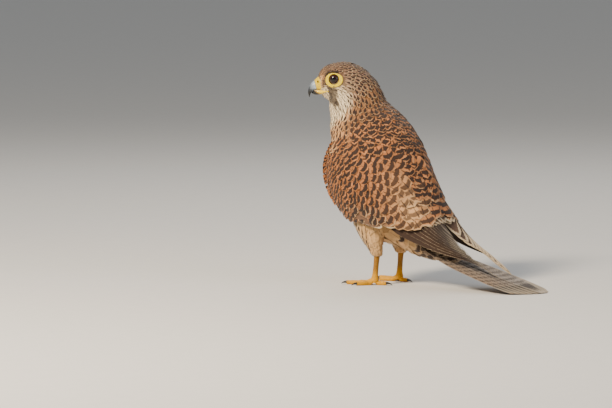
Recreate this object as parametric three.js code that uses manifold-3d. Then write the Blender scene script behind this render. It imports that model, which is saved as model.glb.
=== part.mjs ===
// Common kestrel, life size: it stands on the floor with folded wings, its head turned to its left,
// and its tail laid at floor level. Millimetres, +Z up, the bird faces -Y and its left is +X.
import * as THREE from 'three';
import { mergeVertices } from 'three/addons/utils/BufferGeometryUtils.js';
import Module from 'manifold-3d';

const wasm = await Module();
wasm.setup();

// Driving dimensions
const GAP = 0.3; // clearance between neighbouring pieces
const HEAD_TURN = 35; // degrees that the head is turned to the left
const TAIL_LENGTH = 166; // longest tail feather, from its root
const TAIL_DROOP = 42.6; // degrees below level at the tail's root
const TAIL_LIFT = 25.3; // degrees that the tail curves up to lie along the floor
const EYE_RADIUS = 5.6;
const VANE = 0.6; // thickness of a flight feather in the solids
const SHINGLE = 0.95; // from one tail feather down to the next

// Head, neck and trunk: sections along the spine, from the face (0) to the vent (14).
// x, y, z centre; yaw and pitch of the section's backward direction in degrees; half width;
// reach to the back and to the front; squareness of the outline.
const SPINE = [
  { at: [19.6, -67.7, 197.9], yaw: 35, pitch: 98.6, width: 6.0, back: 8.4, front: 8.4, square: 2.0 },
  { at: [18.2, -65.6, 198.2], yaw: 35, pitch: 95.4, width: 8.8, back: 13.7, front: 12.7, square: 2.0 },
  { at: [15.6, -62.0, 199.3], yaw: 35, pitch: 92.5, width: 12.4, back: 17.2, front: 17.2, square: 2.1 },
  { at: [12.0, -56.7, 200.5], yaw: 35, pitch: 83.2, width: 16.0, back: 19.4, front: 21.0, square: 2.15 },
  { at: [7.6, -50.3, 200.3], yaw: 34, pitch: 66.9, width: 18.5, back: 21.9, front: 27.9, square: 2.15 },
  { at: [3.0, -39.9, 195.2], yaw: 30, pitch: 51.2, width: 20.5, back: 23.1, front: 34.6, square: 2.1 },
  { at: [0.5, -32.0, 182.9], yaw: 24, pitch: 36.7, width: 23.0, back: 25.4, front: 36.5, square: 2.1 },
  { at: [0.0, -29.9, 169.0], yaw: 15, pitch: 26.1, width: 27.0, back: 29.6, front: 36.2, square: 2.1 },
  { at: [0.0, -23.8, 155.4], yaw: 8, pitch: 24, width: 32.0, back: 38.0, front: 39.5, square: 2.2 },
  { at: [0.0, -18.3, 135.6], yaw: 0, pitch: 25, width: 36.0, back: 49.0, front: 45.0, square: 2.3 },
  { at: [0.0, -9.8, 113.9], yaw: 0, pitch: 28, width: 37.5, back: 54.0, front: 47.0, square: 2.3 },
  { at: [0.0, 1.2, 92.4], yaw: 0, pitch: 34, width: 36.5, back: 52.5, front: 44.0, square: 2.3 },
  { at: [0.0, 12.2, 74.9], yaw: 0, pitch: 40, width: 33.0, back: 45.0, front: 37.0, square: 2.3 },
  { at: [0.0, 23.2, 61.4], yaw: 0, pitch: 45, width: 27.0, back: 33.5, front: 28.0, square: 2.2 },
  { at: [0.0, 33.0, 52.8], yaw: 0, pitch: 47.4, width: 22.0, back: 22.0, front: 20.0, square: 2.1 },
];
const HEAD_END = 5.5; // the head meets the neck at the nape and throat
const NECK_END = 8.3; // the neck meets the trunk above the shoulders
const VENT = SPINE.length - 1;

// Folded left wing: columns from the wrist (0) to the wing tip (10). Each has its lower and upper
// edge, how far it bulges between them, and the direction of the bulge in degrees from +X.
const WING = [
  { low: [35, -39.0, 79.9], high: [30.0, -46.1, 141.4], bulge: 10.0, toward: -58 },
  { low: [39, -24.0, 66.8], high: [32.6, -33.5, 147.6], bulge: 12.2, toward: -35 },
  { low: [41, -0.6, 64.1], high: [36.5, -6.8, 135.6], bulge: 9.2, toward: -12 },
  { low: [40, 23.1, 55.2], high: [20.0, 31.0, 136.5], bulge: 11.3, toward: 0 },
  { low: [37, 43.0, 42.0], high: [3.0, 47.0, 123.0], bulge: 12.5, toward: 5 },
  { low: [33, 58.5, 33.4], high: [0.8, 56.5, 104.6], bulge: 11.0, toward: 8 },
  { low: [30, 74.7, 24.9], high: [0.8, 66.8, 81.2], bulge: 9.5, toward: 10 },
  { low: [27, 89.7, 17.4], high: [0.8, 75.6, 57.2], bulge: 7.5, toward: 10 },
  { low: [24, 103.5, 8.9], high: [1.0, 89.7, 32.0], bulge: 5.0, toward: 10 },
  { low: [20.5, 114.5, -2.8], high: [5.0, 105.4, 9.1], bulge: 2.0, toward: 10 },
  { low: [16.5, 124.1, -15.4], high: [14.5, 122.5, -12.6], bulge: 0.0, toward: 10 },
];
const RIGHT_TIP_SHIFT = 6; // the right wing's tip lies this much nearer the middle

// The curve that lays the tail and the wing tips along the floor
const LAY_PIVOT = { y: 33, z: 67 };
const LAY_START = -10;
const LAY_END = 75;

const radians = THREE.MathUtils.degToRad;
const { lerp, clamp, smoothstep } = THREE.MathUtils;
const vec = (x, y, z) => new THREE.Vector3(x, y, z);

/** Smooth value between the rows of a table of numbers, at a fractional row. */
function between(rows, place) {
  const last = rows.length - 1;
  const i = Math.min(Math.floor(clamp(place, 0, last)), last - 1);
  const t = clamp(place, 0, last) - i;
  const row = (k) => rows[clamp(k, 0, last)];
  return rows[i].map((_, c) => {
    const [a, b, d, e] = [row(i - 1)[c], row(i)[c], row(i + 1)[c], row(i + 2)[c]];
    const bend = (2 * a - 5 * b + 4 * d - e) * t * t + (3 * b - a - 3 * d + e) * t * t * t;
    return 0.5 * (2 * b + (d - a) * t + bend);
  });
}

const spineRows = SPINE.map((s) => [...s.at, s.yaw, s.pitch, s.width, s.back, s.front, s.square]);
const wingRows = WING.map((w) => [...w.low, ...w.high, w.bulge, w.toward]);

/** The tail and wing tips are first shaped straight, and then curved up by this to lie along the floor. */
function layOnFloor(point) {
  const [cos, sin] = [Math.cos(radians(TAIL_DROOP)), Math.sin(radians(TAIL_DROOP))];
  const [y, z] = [point.y - LAY_PIVOT.y, point.z - LAY_PIVOT.z];
  const [along, above] = [y * cos - z * sin, y * sin + z * cos];
  const length = LAY_END - LAY_START;
  const radius = length / radians(TAIL_LIFT);
  const angle = clamp(along - LAY_START, 0, length) / radius;
  const beyond = Math.max(along - LAY_END, 0);
  const before = Math.min(along, LAY_START);
  const newAlong = before + (radius - above) * Math.sin(angle) + beyond * Math.cos(angle);
  const newAbove = radius - (radius - above) * Math.cos(angle) + beyond * Math.sin(angle);
  return vec(
    point.x,
    LAY_PIVOT.y + newAlong * cos + newAbove * sin,
    LAY_PIVOT.z - newAlong * sin + newAbove * cos,
  );
}

/** Closed mesh from equal rings of points, as { points, faces }, with a flat fan at each end. */
function loft(rings) {
  const count = rings[0].length;
  const points = rings.flat();
  const faces = [];
  for (let i = 0; i < rings.length - 1; i++) {
    for (let j = 0; j < count; j++) {
      const [a, b] = [i * count + j, i * count + ((j + 1) % count)];
      faces.push([a, b, b + count], [a, b + count, a + count]);
    }
  }
  const ends = [[rings[0], 0, true], [rings[rings.length - 1], (rings.length - 1) * count, false]];
  for (const [ring, first, turned] of ends) {
    const middle = ring.reduce((sum, p) => sum.add(p), vec(0, 0, 0)).divideScalar(count);
    points.push(middle);
    for (let j = 0; j < count; j++) {
      const [a, b] = [first + j, first + ((j + 1) % count)];
      faces.push(turned ? [b, a, points.length - 1] : [a, b, points.length - 1]);
    }
  }
  return { points, faces };
}

/** Turns the faces of a mesh outward when its volume comes out negative. */
function facedOut({ points, faces }) {
  const wedge = ([a, b, c]) => points[a].dot(vec(0, 0, 0).crossVectors(points[b], points[c]));
  const volume = faces.reduce((sum, face) => sum + wedge(face), 0);
  return { points, faces: volume < 0 ? faces.map(([a, b, c]) => [a, c, b]) : faces };
}

/** Solid from a mesh of points and faces. */
function solid(mesh) {
  const { points, faces } = facedOut(mesh);
  const vertProperties = new Float32Array(points.flatMap((p) => [p.x, p.y, p.z]));
  const triVerts = new Uint32Array(faces.flat());
  return new wasm.Manifold(new wasm.Mesh({ numProp: 3, vertProperties, triVerts }));
}

/** Solid from a three.js geometry. */
function solidOf(geometry) {
  geometry.deleteAttribute('normal');
  geometry.deleteAttribute('uv');
  const merged = mergeVertices(geometry);
  const places = merged.getAttribute('position');
  const points = Array.from({ length: places.count }, (_, i) => vec(0, 0, 0).fromBufferAttribute(places, i));
  const index = Array.from(merged.index.array);
  const faces = Array.from({ length: index.length / 3 }, (_, i) => index.slice(i * 3, i * 3 + 3));
  return solid({ points, faces });
}

const moved = (mesh, change) => ({ points: mesh.points.map(change), faces: mesh.faces });
const join = (solids) => solids.reduce((all, next) => all.add(next));
const belowFloor = (x, y) => solidOf(new THREE.BoxGeometry(120, 120, 20).translate(x, y, -10));
const larger = (a, b) => (b.volume() > a.volume() ? b : a);
const largest = (body) => body.decompose().reduce(larger);

/** Outline of the body at a fractional section, grown outward by some millimetres. */
function spineRing(place, sides, grow = 0) {
  const [x, y, z, yaw, pitch, width, back, front, square] = between(spineRows, place);
  const [turn, tilt] = [radians(yaw), radians(pitch)];
  const across = vec(Math.cos(turn), Math.sin(turn), 0);
  const backward = vec(-Math.sin(turn) * Math.cos(tilt), Math.cos(turn) * Math.cos(tilt), Math.sin(tilt));
  return Array.from({ length: sides }, (_, i) => {
    const angle = (2 * Math.PI * i) / sides;
    const [c, s] = [Math.cos(angle), Math.sin(angle)];
    const round = (v) => Math.sign(v) * Math.abs(v) ** (2 / square);
    const reach = (c > 0 ? back : front) + grow;
    const side = vec(x, y, z).addScaledVector(across, round(s) * (width + grow));
    return side.addScaledVector(backward, round(c) * reach);
  });
}

/** Unit vector along the spine, square to the section there. */
function spineNormal(place) {
  const [, , , yaw, pitch] = between(spineRows, place);
  const [turn, tilt] = [radians(yaw), radians(pitch)];
  return vec(-Math.sin(turn) * Math.sin(tilt), Math.cos(turn) * Math.sin(tilt), -Math.cos(tilt));
}

/** Stretch of the body between two sections; shift moves its first cut along the spine. */
function bodyStretch(from, to, steps, sides, { grow = 0, shift = 0, reach = 0 } = {}) {
  const places = Array.from({ length: steps + 1 }, (_, i) => lerp(from, to, i / steps));
  const rings = places.map((place) => spineRing(place, sides, grow));
  const start = spineNormal(from).multiplyScalar(shift);
  rings[0] = rings[0].map((p) => p.clone().add(start));
  if (reach > 0) {
    const end = spineNormal(to).multiplyScalar(reach);
    rings.push(rings[steps].map((p) => p.clone().add(end)));
  }
  return moved(loft(rings), layOnFloor);
}

// Head frame: forward and level along the bill, across to the left, and up, from between the eyes
const headOrigin = vec(10.9, -55.2, 203.6);
const headForward = vec(Math.sin(radians(HEAD_TURN)), -Math.cos(radians(HEAD_TURN)), 0);
const headAcross = vec(Math.cos(radians(HEAD_TURN)), Math.sin(radians(HEAD_TURN)), 0);
const inHead = (forward, across, up) => headOrigin.clone()
  .addScaledVector(headForward, forward).addScaledVector(headAcross, across).add(vec(0, 0, up));

/** Ring across the bill from its top and bottom line: flat on its biting side, and wider there by flare. */
function billRing({ top, bottom, width, bite, flare = 0 }, sides, grow = 0) {
  const middle = [(top[0] + bottom[0]) / 2, (top[1] + bottom[1]) / 2];
  const half = [(top[0] - bottom[0]) / 2, (top[1] - bottom[1]) / 2];
  const stretch = 1 + grow / Math.hypot(...half);
  return Array.from({ length: sides }, (_, i) => {
    const angle = (2 * Math.PI * (i + 0.5)) / sides;
    const [c, s] = [Math.cos(angle), Math.sin(angle)];
    const square = c * bite > 0 ? 0.45 : 1;
    const [rise, side] = [Math.sign(c) * Math.abs(c) ** square, Math.sign(s) * Math.abs(s) ** square];
    const across = side * (width + grow) * (1 + flare * Math.max(0, rise * bite) ** 3);
    return inHead(middle[0] + half[0] * rise * stretch, across, middle[1] + half[1] * rise * stretch);
  });
}

const BELOW = -1; // the upper bill bites with its underside
const ABOVE = 1; // and the lower bill with its top
const CERE = [
  { top: [11.5, 4.6], bottom: [5.5, -11.2], width: 7.6, flare: 0.66, bite: BELOW },
  { top: [14.6, 3.0], bottom: [8.8, -11.2], width: 7.4, flare: 0.62, bite: BELOW },
  { top: [17.6, 0.6], bottom: [13.0, -11.0], width: 6.4, flare: 0.18, bite: BELOW },
  { top: [20.0, -1.9], bottom: [17.6, -10.9], width: 5.2, flare: 0.04, bite: BELOW },
];
const UPPER_BILL = [
  { top: [20.3, -2.3], bottom: [17.95, -10.9], width: 5.0, bite: BELOW },
  { top: [23.0, -4.4], bottom: [20.3, -11.2], width: 4.3, bite: BELOW },
  { top: [25.0, -7.6], bottom: [21.9, -11.9], width: 3.5, bite: BELOW },
  { top: [26.2, -11.0], bottom: [22.7, -13.4], width: 2.7, bite: BELOW },
  { top: [26.5, -14.2], bottom: [23.8, -15.2], width: 1.7, bite: BELOW },
  { top: [25.9, -17.0], bottom: [24.5, -17.1], width: 0.95, bite: BELOW },
  { top: [25.2, -18.9], bottom: [24.8, -18.8], width: 0.35, bite: BELOW },
];
const LOWER_BILL = [
  { top: [5.0, -11.9], bottom: [6.0, -13.2], width: 11.6, bite: ABOVE },
  { top: [8.8, -11.65], bottom: [9.4, -14.0], width: 10.6, bite: ABOVE },
  { top: [13.0, -11.4], bottom: [13.0, -15.9], width: 7.0, bite: ABOVE },
  { top: [17.8, -11.3], bottom: [17.6, -16.8], width: 4.7, bite: ABOVE },
  { top: [20.9, -11.7], bottom: [20.7, -16.2], width: 3.4, bite: ABOVE },
  { top: [22.2, -13.1], bottom: [22.2, -15.3], width: 1.6, bite: ABOVE },
];
const BILL_SIDES = 14;
const LID = { ring: 4.9, tube: 1.15, lateral: 15.2 };
const EYE_LATERAL = 12.2;
const EYE_TILT = 14; // degrees that each eye looks forward
const BROW = { size: [3.4, 8.0, 3.4], inward: 0.3, forward: 1.2, lateral: 12.0, up: 4.6 };
const NOSTRIL = { forward: 16.6, up: -3.0, lateral: 6.2, radius: 1.05 };

/** Centre of an eye, or a point pushed further out along its look. */
function eyePoint(side, outward = 0) {
  const tilt = radians(EYE_TILT);
  return inHead(outward * Math.sin(tilt), side * (EYE_LATERAL + outward * Math.cos(tilt)), 0);
}

/** Geometry turned so that its own +Z looks outward from an eye, and moved there. */
function facingOut(geometry, side, outward) {
  const look = eyePoint(side, 1).sub(eyePoint(side, 0));
  geometry.applyQuaternion(new THREE.Quaternion().setFromUnitVectors(vec(0, 0, 1), look));
  return geometry.translate(...eyePoint(side, outward));
}

/** Eyeball, grown outward by some millimetres. */
function eyeball(side, grow = 0) {
  const ball = new THREE.SphereGeometry(EYE_RADIUS + grow, 16, 11);
  return solidOf(facingOut(ball, side, 0));
}

function makeHead() {
  const parts = [solid(bodyStretch(0, HEAD_END, 19, 24))];
  for (const side of [1, -1]) {
    const outward = LID.lateral - EYE_LATERAL;
    parts.push(solidOf(facingOut(new THREE.TorusGeometry(LID.ring, LID.tube, 6, 16), side, outward)));
    const brow = new THREE.SphereGeometry(1, 10, 8).scale(...BROW.size);
    brow.rotateZ(radians(HEAD_TURN) - side * BROW.inward);
    parts.push(solidOf(brow.translate(...inHead(BROW.forward, side * BROW.lateral, BROW.up))));
  }
  let head = join(parts);
  for (const side of [1, -1]) head = head.subtract(eyeball(side, GAP));
  head = head.subtract(solid(loft(CERE.map((ring) => billRing(ring, BILL_SIDES, GAP)))));
  head = head.subtract(solid(loft(LOWER_BILL.map((ring) => billRing(ring, BILL_SIDES, GAP)))));
  return largest(head);
}

function makeCere() {
  let cere = solid(loft(CERE.map((ring) => billRing(ring, BILL_SIDES))));
  for (const side of [1, -1]) {
    const hole = new THREE.SphereGeometry(NOSTRIL.radius, 10, 8);
    hole.translate(...inHead(NOSTRIL.forward, side * NOSTRIL.lateral, NOSTRIL.up));
    cere = cere.subtract(solidOf(hole));
  }
  return largest(cere);
}

// Feathers as thin plates

/** Plate of a feather along stations of { at, across, out, half, thick }: a low roof, flat without camber. */
function vane(stations, camber) {
  const columns = camber > 0 ? [-1, 0, 1] : [-1, 1];
  const top = (side, edge, half) => [side, edge + (side === 0 ? half * camber : 0)];
  const rings = stations.map(({ at, across, out, half, thick }) => {
    const over = columns.map((side) => top(side, thick / 2, half));
    const under = over.map(([side, rise]) => [side, rise - thick]).reverse();
    return [...over, ...under].map(([side, rise]) => (
      at.clone().addScaledVector(across, side * half).addScaledVector(out, rise)));
  });
  const [wide, count] = [columns.length, columns.length * 2];
  const faces = [];
  for (let i = 0; i < rings.length - 1; i++) {
    for (let j = 0; j < count; j++) {
      const [a, b] = [i * count + j, i * count + ((j + 1) % count)];
      const [c, d] = [b + count, a + count];
      const under = j >= wide && j < count - 1;
      faces.push(...(under ? [[a, b, d], [b, c, d]] : [[a, b, c], [a, c, d]]));
    }
  }
  const last = (rings.length - 1) * count;
  for (let j = 0; j < wide - 1; j++) {
    const [a, b, c, d] = [j, j + 1, count - 2 - j, count - 1 - j];
    faces.push([b, a, d], [b, d, c], [last + a, last + b, last + d], [last + b, last + c, last + d]);
  }
  return { points: rings.flat(), faces };
}

/** Half width along a feather: narrow at the root, full in the middle, and a rounded or pointed tip. */
function featherHalf(u, width, point, base = 0.3) {
  const stem = smoothstep(u, -0.08, base);
  const tip = (1 - clamp((u - 0.45) / 0.55, 0, 1) ** point) ** (1 / 2);
  return (width / 2) * Math.max(stem * tip, 0.07);
}

/** Point of the left wing's outer surface. */
function wingPoint(s, t) {
  const [lx, ly, lz, hx, hy, hz, bulge, toward] = between(wingRows, s);
  const swell = bulge * 4 * t * (1 - t);
  return vec(
    lerp(lx, hx, t) + swell * Math.cos(radians(toward)),
    lerp(ly, hy, t) + swell * Math.sin(radians(toward)),
    lerp(lz, hz, t) + swell * 0.1,
  );
}

/** Directions on the wing's surface: back along it, up across it, and outward. */
function wingAxes(s, t) {
  const step = 0.02;
  const back = wingPoint(s + step, t).sub(wingPoint(s - step, t)).normalize();
  const up = wingPoint(s, Math.min(t + step, 1)).sub(wingPoint(s, Math.max(t - step, 0))).normalize();
  return { back, up, out: vec(0, 0, 0).crossVectors(back, up).normalize() };
}

const inWing = (s, t, depth) => wingPoint(s, t).addScaledVector(wingAxes(s, t).out, -depth);

/**
 * One tier of wing feathers, each over the one before it. place(f) gives root, tip and size at share f of
 * the tier. They tilt like shingles, and where they run too close for that they also lie deeper in turn.
 */
function wingTier({ count, place, cuts, camber, stack }) {
  const steepest = 0.5;
  const shares = Array.from({ length: count }, (_, i) => i / (count - 1));
  const on = ({ root, tip }, u) => [lerp(root[0], tip[0], u), lerp(root[1], tip[1], u ** 0.9)];
  const route = (feather, u) => inWing(...on(feather, u), lerp(...feather.depth, u ** 1.3));
  const feathers = shares.map(place);
  const stations = feathers.map(() => []);
  for (const u of cuts) {
    const frames = feathers.map((feather) => {
      const ahead = route(feather, Math.min(u + 0.03, 1));
      const along = ahead.sub(route(feather, Math.max(u - 0.03, 0))).normalize();
      const flat = vec(0, 0, 0).crossVectors(wingAxes(...on(feather, u)).out, along).normalize();
      return { at: route(feather, u), along, flat, normal: vec(0, 0, 0).crossVectors(along, flat) };
    });
    const apart = ({ at, flat }, next) => Math.abs(next.at.clone().sub(at).dot(flat));
    const spacings = frames.slice(1).map((next, i) => apart(frames[i], next));
    const mean = spacings.reduce((sum, s) => sum + s, 0) / spacings.length;
    const sine = Math.min(stack / mean, steepest);
    const tilt = Math.asin(sine);
    let sunk = 0;
    for (let i = count - 1; i >= 0; i--) {
      const { at, along, flat, normal } = frames[i];
      const across = flat.clone().multiplyScalar(Math.cos(tilt)).addScaledVector(normal, -sine);
      const out = vec(0, 0, 0).crossVectors(along, across);
      if (i < count - 1) sunk += Math.max(0, stack - spacings[i] * sine) * smoothstep(u, 0, 0.5);
      const half = featherHalf(u, feathers[i].width, feathers[i].point);
      stations[i].push({ at: at.addScaledVector(normal, -sunk), across, out, half, thick: VANE });
    }
  }
  return stations.map((row) => vane(row, camber));
}

// Share f runs from the outermost feather, lowest on the folded wing, to the innermost
const FLIGHTS = {
  count: 11,
  cuts: [0, 0.22, 0.45, 0.68, 0.88, 1],
  camber: 0.07,
  stack: 0.95,
  place: (f) => ({
    root: [lerp(1.3, 3.6, f), lerp(0.13, 0.93, f)],
    tip: [f < 0.4 ? lerp(9.95, 8.3, f / 0.4) : lerp(8.3, 6.5, (f - 0.4) / 0.6), lerp(0.2, 0.92, f ** 0.9)],
    depth: [lerp(4.8, 5.8, f), lerp(1.9, 2.4, f)],
    width: lerp(11, 17, f * f),
    point: lerp(1.7, 3.2, f),
  }),
};
const GREAT_COVERTS = {
  count: 9,
  cuts: [0, 0.4, 0.8, 1],
  camber: 0,
  stack: 1.3,
  place: (f) => ({
    root: [lerp(1.0, 3.6, f), lerp(0.12, 0.86, f)],
    tip: [lerp(3.1, 6.6, f ** 0.8), lerp(0.08, 0.86, f)],
    depth: [2.8, 0.7],
    width: lerp(9.5, 12.5, f),
    point: 3,
  }),
};
const MIDDLE_COVERTS = {
  count: 8,
  cuts: [0, 0.65, 1],
  camber: 0,
  stack: 1.3,
  place: (f) => ({
    root: [lerp(0.7, 1.8, f), lerp(0.22, 0.74, f)],
    tip: [lerp(1.8, 3.3, f), lerp(0.22, 0.72, f)],
    depth: [2.4, -0.7],
    width: lerp(8.5, 12, f),
    point: 2.6,
  }),
};
const CORE = { rim: [2.3, 3.5], skin: 1.4, thick: 13, thin: 6.5, edge: 1.2 };

/** Fleshy part of the wing: a pillow under the surface, thick against the trunk and thin behind. */
function wingCore() {
  const [rows, columns] = [9, 8];
  const corner = (i, j, inner) => {
    const t = 0.02 + (0.96 * j) / columns;
    const s = (lerp(CORE.rim[0], CORE.rim[1], t) * i) / rows;
    const ends = Math.min(1, Math.sin((Math.PI * (i + 0.35)) / (rows + 0.7)) * 1.6);
    const round = (Math.sin(Math.PI * t) * ends) ** 0.45;
    const thick = lerp(CORE.thick, CORE.thin, smoothstep(s, 2.2, 4)) * round + CORE.edge;
    return inWing(s, t, CORE.skin + (inner ? thick : (1 - round) * 1.5));
  };
  const steps = (count) => Array.from({ length: count + 1 }, (_, k) => k);
  const grid = (inner) => steps(rows).map((i) => steps(columns).map((j) => corner(i, j, inner)));
  const [outer, inner] = [grid(false), grid(true)];
  const rings = outer.map((row, i) => [...row, ...[...inner[i]].reverse()]);
  return loft(rings);
}

/** Puts a left wing piece on either side, and lays it along the floor. */
function placeWing(side) {
  return (p) => {
    const shift = side < 0 ? RIGHT_TIP_SHIFT * smoothstep(p.y, 80, 124) : 0;
    return layOnFloor(vec(side * p.x + shift, p.y, p.z));
  };
}

function makeWing(side, neighbours) {
  const meshes = [FLIGHTS, GREAT_COVERTS, MIDDLE_COVERTS].flatMap((tier) => wingTier(tier));
  const feathers = meshes.map((mesh) => solid(moved(mesh, placeWing(side))));
  const core = solid(moved(wingCore(), placeWing(side)));
  let wing = join([core, ...feathers]);
  const otherHalf = new THREE.BoxGeometry(100, 400, 400).translate(-side * (50 - GAP / 2), 0, 100);
  for (const neighbour of [...neighbours, solidOf(otherHalf)]) wing = wing.subtract(neighbour);
  return largest(wing);
}

// Tail: twelve feathers in a narrow fan, the middle pair on top
const TAIL_FEATHERS = 12;
const TAIL_ROOT = { spread: 2.5, fan: 0.95, lean: 1.6, roll: 0.7, below: 4.2, width: 20, shorter: 13 };
const TAIL_SQUARE = 2.1;
const TAIL_CUTS = [0.12, 0.36, 0.6, 0.82, 0.94, 1];
const TAIL_CORE = [
  { along: 0.35, above: -10.45, width: 22, back: 22, front: 20 },
  { along: 14, above: -9.6, width: 20, back: 17, front: 18 },
  { along: 28, above: -8.2, width: 17.5, back: 11, front: 13.5 },
  { along: 42, above: -6.6, width: 15.5, back: 6.5, front: 8.5 },
  { along: 56, above: -5.6, width: 14, back: 3.4, front: 4.6 },
  { along: 66, above: -5.4, width: 11, back: 1.6, front: 2.2 },
];

/** Point in the straight tail's frame: along it, above it and across it. */
function inTail(along, above, across) {
  const [cos, sin] = [Math.cos(radians(TAIL_DROOP)), Math.sin(radians(TAIL_DROOP))];
  return vec(across, LAY_PIVOT.y + along * cos + above * sin, LAY_PIVOT.z - along * sin + above * cos);
}

function makeTail() {
  const sides = 18;
  const vent = 9.6; // where the trunk's last section crosses the tail's line
  const round = (v) => Math.sign(v) * Math.abs(v) ** (2 / TAIL_SQUARE);
  const angles = Array.from({ length: sides }, (_, i) => (2 * Math.PI * i) / sides);
  const rings = TAIL_CORE.map(({ along, above, width, back, front }) => angles.map((angle) => {
    const rise = round(Math.cos(angle)) * (Math.cos(angle) > 0 ? back : front);
    return inTail(vent + along, above + rise, round(Math.sin(angle)) * width);
  }));
  const feathers = Array.from({ length: TAIL_FEATHERS }, (_, i) => {
    const place = i - (TAIL_FEATHERS - 1) / 2;
    const rank = Math.abs(place) - 0.5;
    const length = TAIL_LENGTH - TAIL_ROOT.shorter * (rank / 5) ** 1.4 - (place > 0 ? rank * 0.8 : 0);
    const turn = radians(place * TAIL_ROOT.fan - TAIL_ROOT.lean);
    const roll = radians(place * TAIL_ROOT.roll);
    const above = -TAIL_ROOT.below - SHINGLE * rank;
    const aside = (u) => place * TAIL_ROOT.spread + u * length * Math.sin(turn);
    const stations = TAIL_CUTS.map((u) => ({
      at: inTail(u * length * Math.cos(turn), above, aside(u)),
      across: inTail(0, -Math.sin(roll), Math.cos(roll)).sub(inTail(0, 0, 0)),
      out: inTail(0, Math.cos(roll), Math.sin(roll)).sub(inTail(0, 0, 0)),
      half: featherHalf(u, TAIL_ROOT.width - rank * 0.5, 5, 0.6),
      thick: VANE,
    }));
    return vane(stations, 0.03);
  });
  const tail = join([loft(rings), ...feathers].map((mesh) => solid(moved(mesh, layOnFloor))));
  return largest(tail.subtract(belowFloor(0, TAIL_LENGTH)));
}

// Legs
const LEG = {
  hub: [22, 0.8], // where the toes meet, on the floor
  ankle: 9.5, // top of the foot
  knee: [21.3, 3.6, 29.5],
  hubSize: [4.2, 4.6, 4.4],
  ankleRadii: [3.6, 3.3, 2.9],
  shankRadii: [2.8, 2.6, 2.55, 2.8, 3.3],
  toeOut: { 1: 20, '-1': 15 },
};
const THIGH = [
  { at: [21.3, 3.6, 29.8], across: 4.0, deep: 4.3 },
  { at: [21.6, 1.9, 36], across: 6.2, deep: 8.2 },
  { at: [22.2, -1.5, 46], across: 9.2, deep: 12.8 },
  { at: [22.6, -5, 58], across: 11.2, deep: 16.4 },
  { at: [22.6, -7, 70], across: 11.5, deep: 18 },
  { at: [22, -8, 82], across: 10, deep: 16 },
];
const TOES = [
  { name: 'inner', turn: 38, length: 19, radius: 2.2, claw: 9.5 },
  { name: 'middle', turn: 0, length: 28, radius: 2.4, claw: 9.5 },
  { name: 'outer', turn: -34, length: 20, radius: 2.2, claw: 8.5 },
  { name: 'hind', turn: 176, length: 12.5, radius: 2.3, claw: 10 },
];

/** Ring of points round a place, square to a direction. */
function roundRing(at, direction, across, deep, sides) {
  const side = vec(0, 0, 1).cross(direction);
  const right = side.lengthSq() > 1e-6 ? side.normalize() : vec(1, 0, 0);
  const up = vec(0, 0, 0).crossVectors(direction, right).normalize();
  return Array.from({ length: sides }, (_, i) => {
    const angle = (2 * Math.PI * i) / sides;
    const point = at.clone().addScaledVector(right, across * Math.cos(angle));
    return point.addScaledVector(up, deep * Math.sin(angle));
  });
}

/** Floor direction of a toe. */
function toeDirection(side, toe) {
  const angle = radians(side * (LEG.toeOut[side] + toe.turn));
  return vec(Math.sin(angle), -Math.cos(angle), 0);
}

const hubOf = (side) => vec(side * LEG.hub[0], LEG.hub[1], 0);
const TOE_SIDES = 8;

/** Toe with a pad under each joint, and a flat end for its claw. */
function makeToe(side, toe) {
  const direction = toeDirection(side, toe);
  const cuts = [0, 0.18, 0.34, 0.48, 0.62, 0.78, 0.9, 1];
  const rings = cuts.map((u, i) => {
    const pad = i % 2 ? 1.1 : 0.92;
    const radius = toe.radius * pad * lerp(1.1, 0.8, u);
    const height = toe.radius * 0.86 + 2.6 * (1 - smoothstep(u, 0, 0.35));
    const at = hubOf(side).addScaledVector(direction, u * toe.length).setZ(height);
    return roundRing(at, direction, radius, radius, TOE_SIDES);
  });
  return solid(loft(rings));
}

/** Claw that springs from the toe's end and curves down to the floor. */
function makeClaw(side, toe) {
  const direction = toeDirection(side, toe);
  const start = toe.length + GAP + 0.05;
  const base = toe.radius * 0.66;
  const cuts = [0, 0.2, 0.42, 0.64, 0.84, 1];
  const rings = cuts.map((u) => {
    const sweep = u * 1.25;
    const run = Math.sin(sweep) * toe.claw * 0.72;
    const rise = (Math.cos(sweep) - 1) * toe.claw * 0.42 + 0.9 * u;
    const radius = lerp(base, 0.28, u ** 0.9);
    const height = toe.radius * 0.86 + 0.25 + rise;
    const at = hubOf(side).addScaledVector(direction, start + run).setZ(Math.max(height, radius + 0.15));
    const dip = sweep * u * 0.6;
    const heading = direction.clone().multiplyScalar(Math.cos(dip)).setZ(-Math.sin(dip));
    return roundRing(at, heading.normalize(), radius * 0.85, radius, 6);
  });
  return solid(loft(rings));
}

function makeFoot(side) {
  const ball = new THREE.SphereGeometry(1, 12, 8).scale(...LEG.hubSize);
  const hub = ball.translate(...hubOf(side).setZ(LEG.hubSize[1]));
  const ankle = roundedPost(side, 3, LEG.ankle, LEG.ankleRadii);
  const foot = join([solidOf(hub), ankle, ...TOES.map((toe) => makeToe(side, toe))]);
  return largest(foot.subtract(belowFloor(side * LEG.hub[0], LEG.hub[1])));
}

/** Upright post on the shank's line between two heights, through the given radii. */
function roundedPost(side, from, to, radii) {
  const foot = hubOf(side);
  const knee = vec(side * LEG.knee[0], LEG.knee[1], LEG.knee[2]);
  const rings = radii.map((radius, i) => {
    const z = lerp(from, to, i / (radii.length - 1));
    const at = foot.clone().lerp(knee, z / knee.z).setZ(z);
    return roundRing(at, vec(0, 0, 1), radius, radius * 1.08, 10);
  });
  return solid(loft(rings));
}

const makeShank = (side) => roundedPost(side, LEG.ankle + GAP, LEG.knee[2] - 0.02, LEG.shankRadii);

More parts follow.
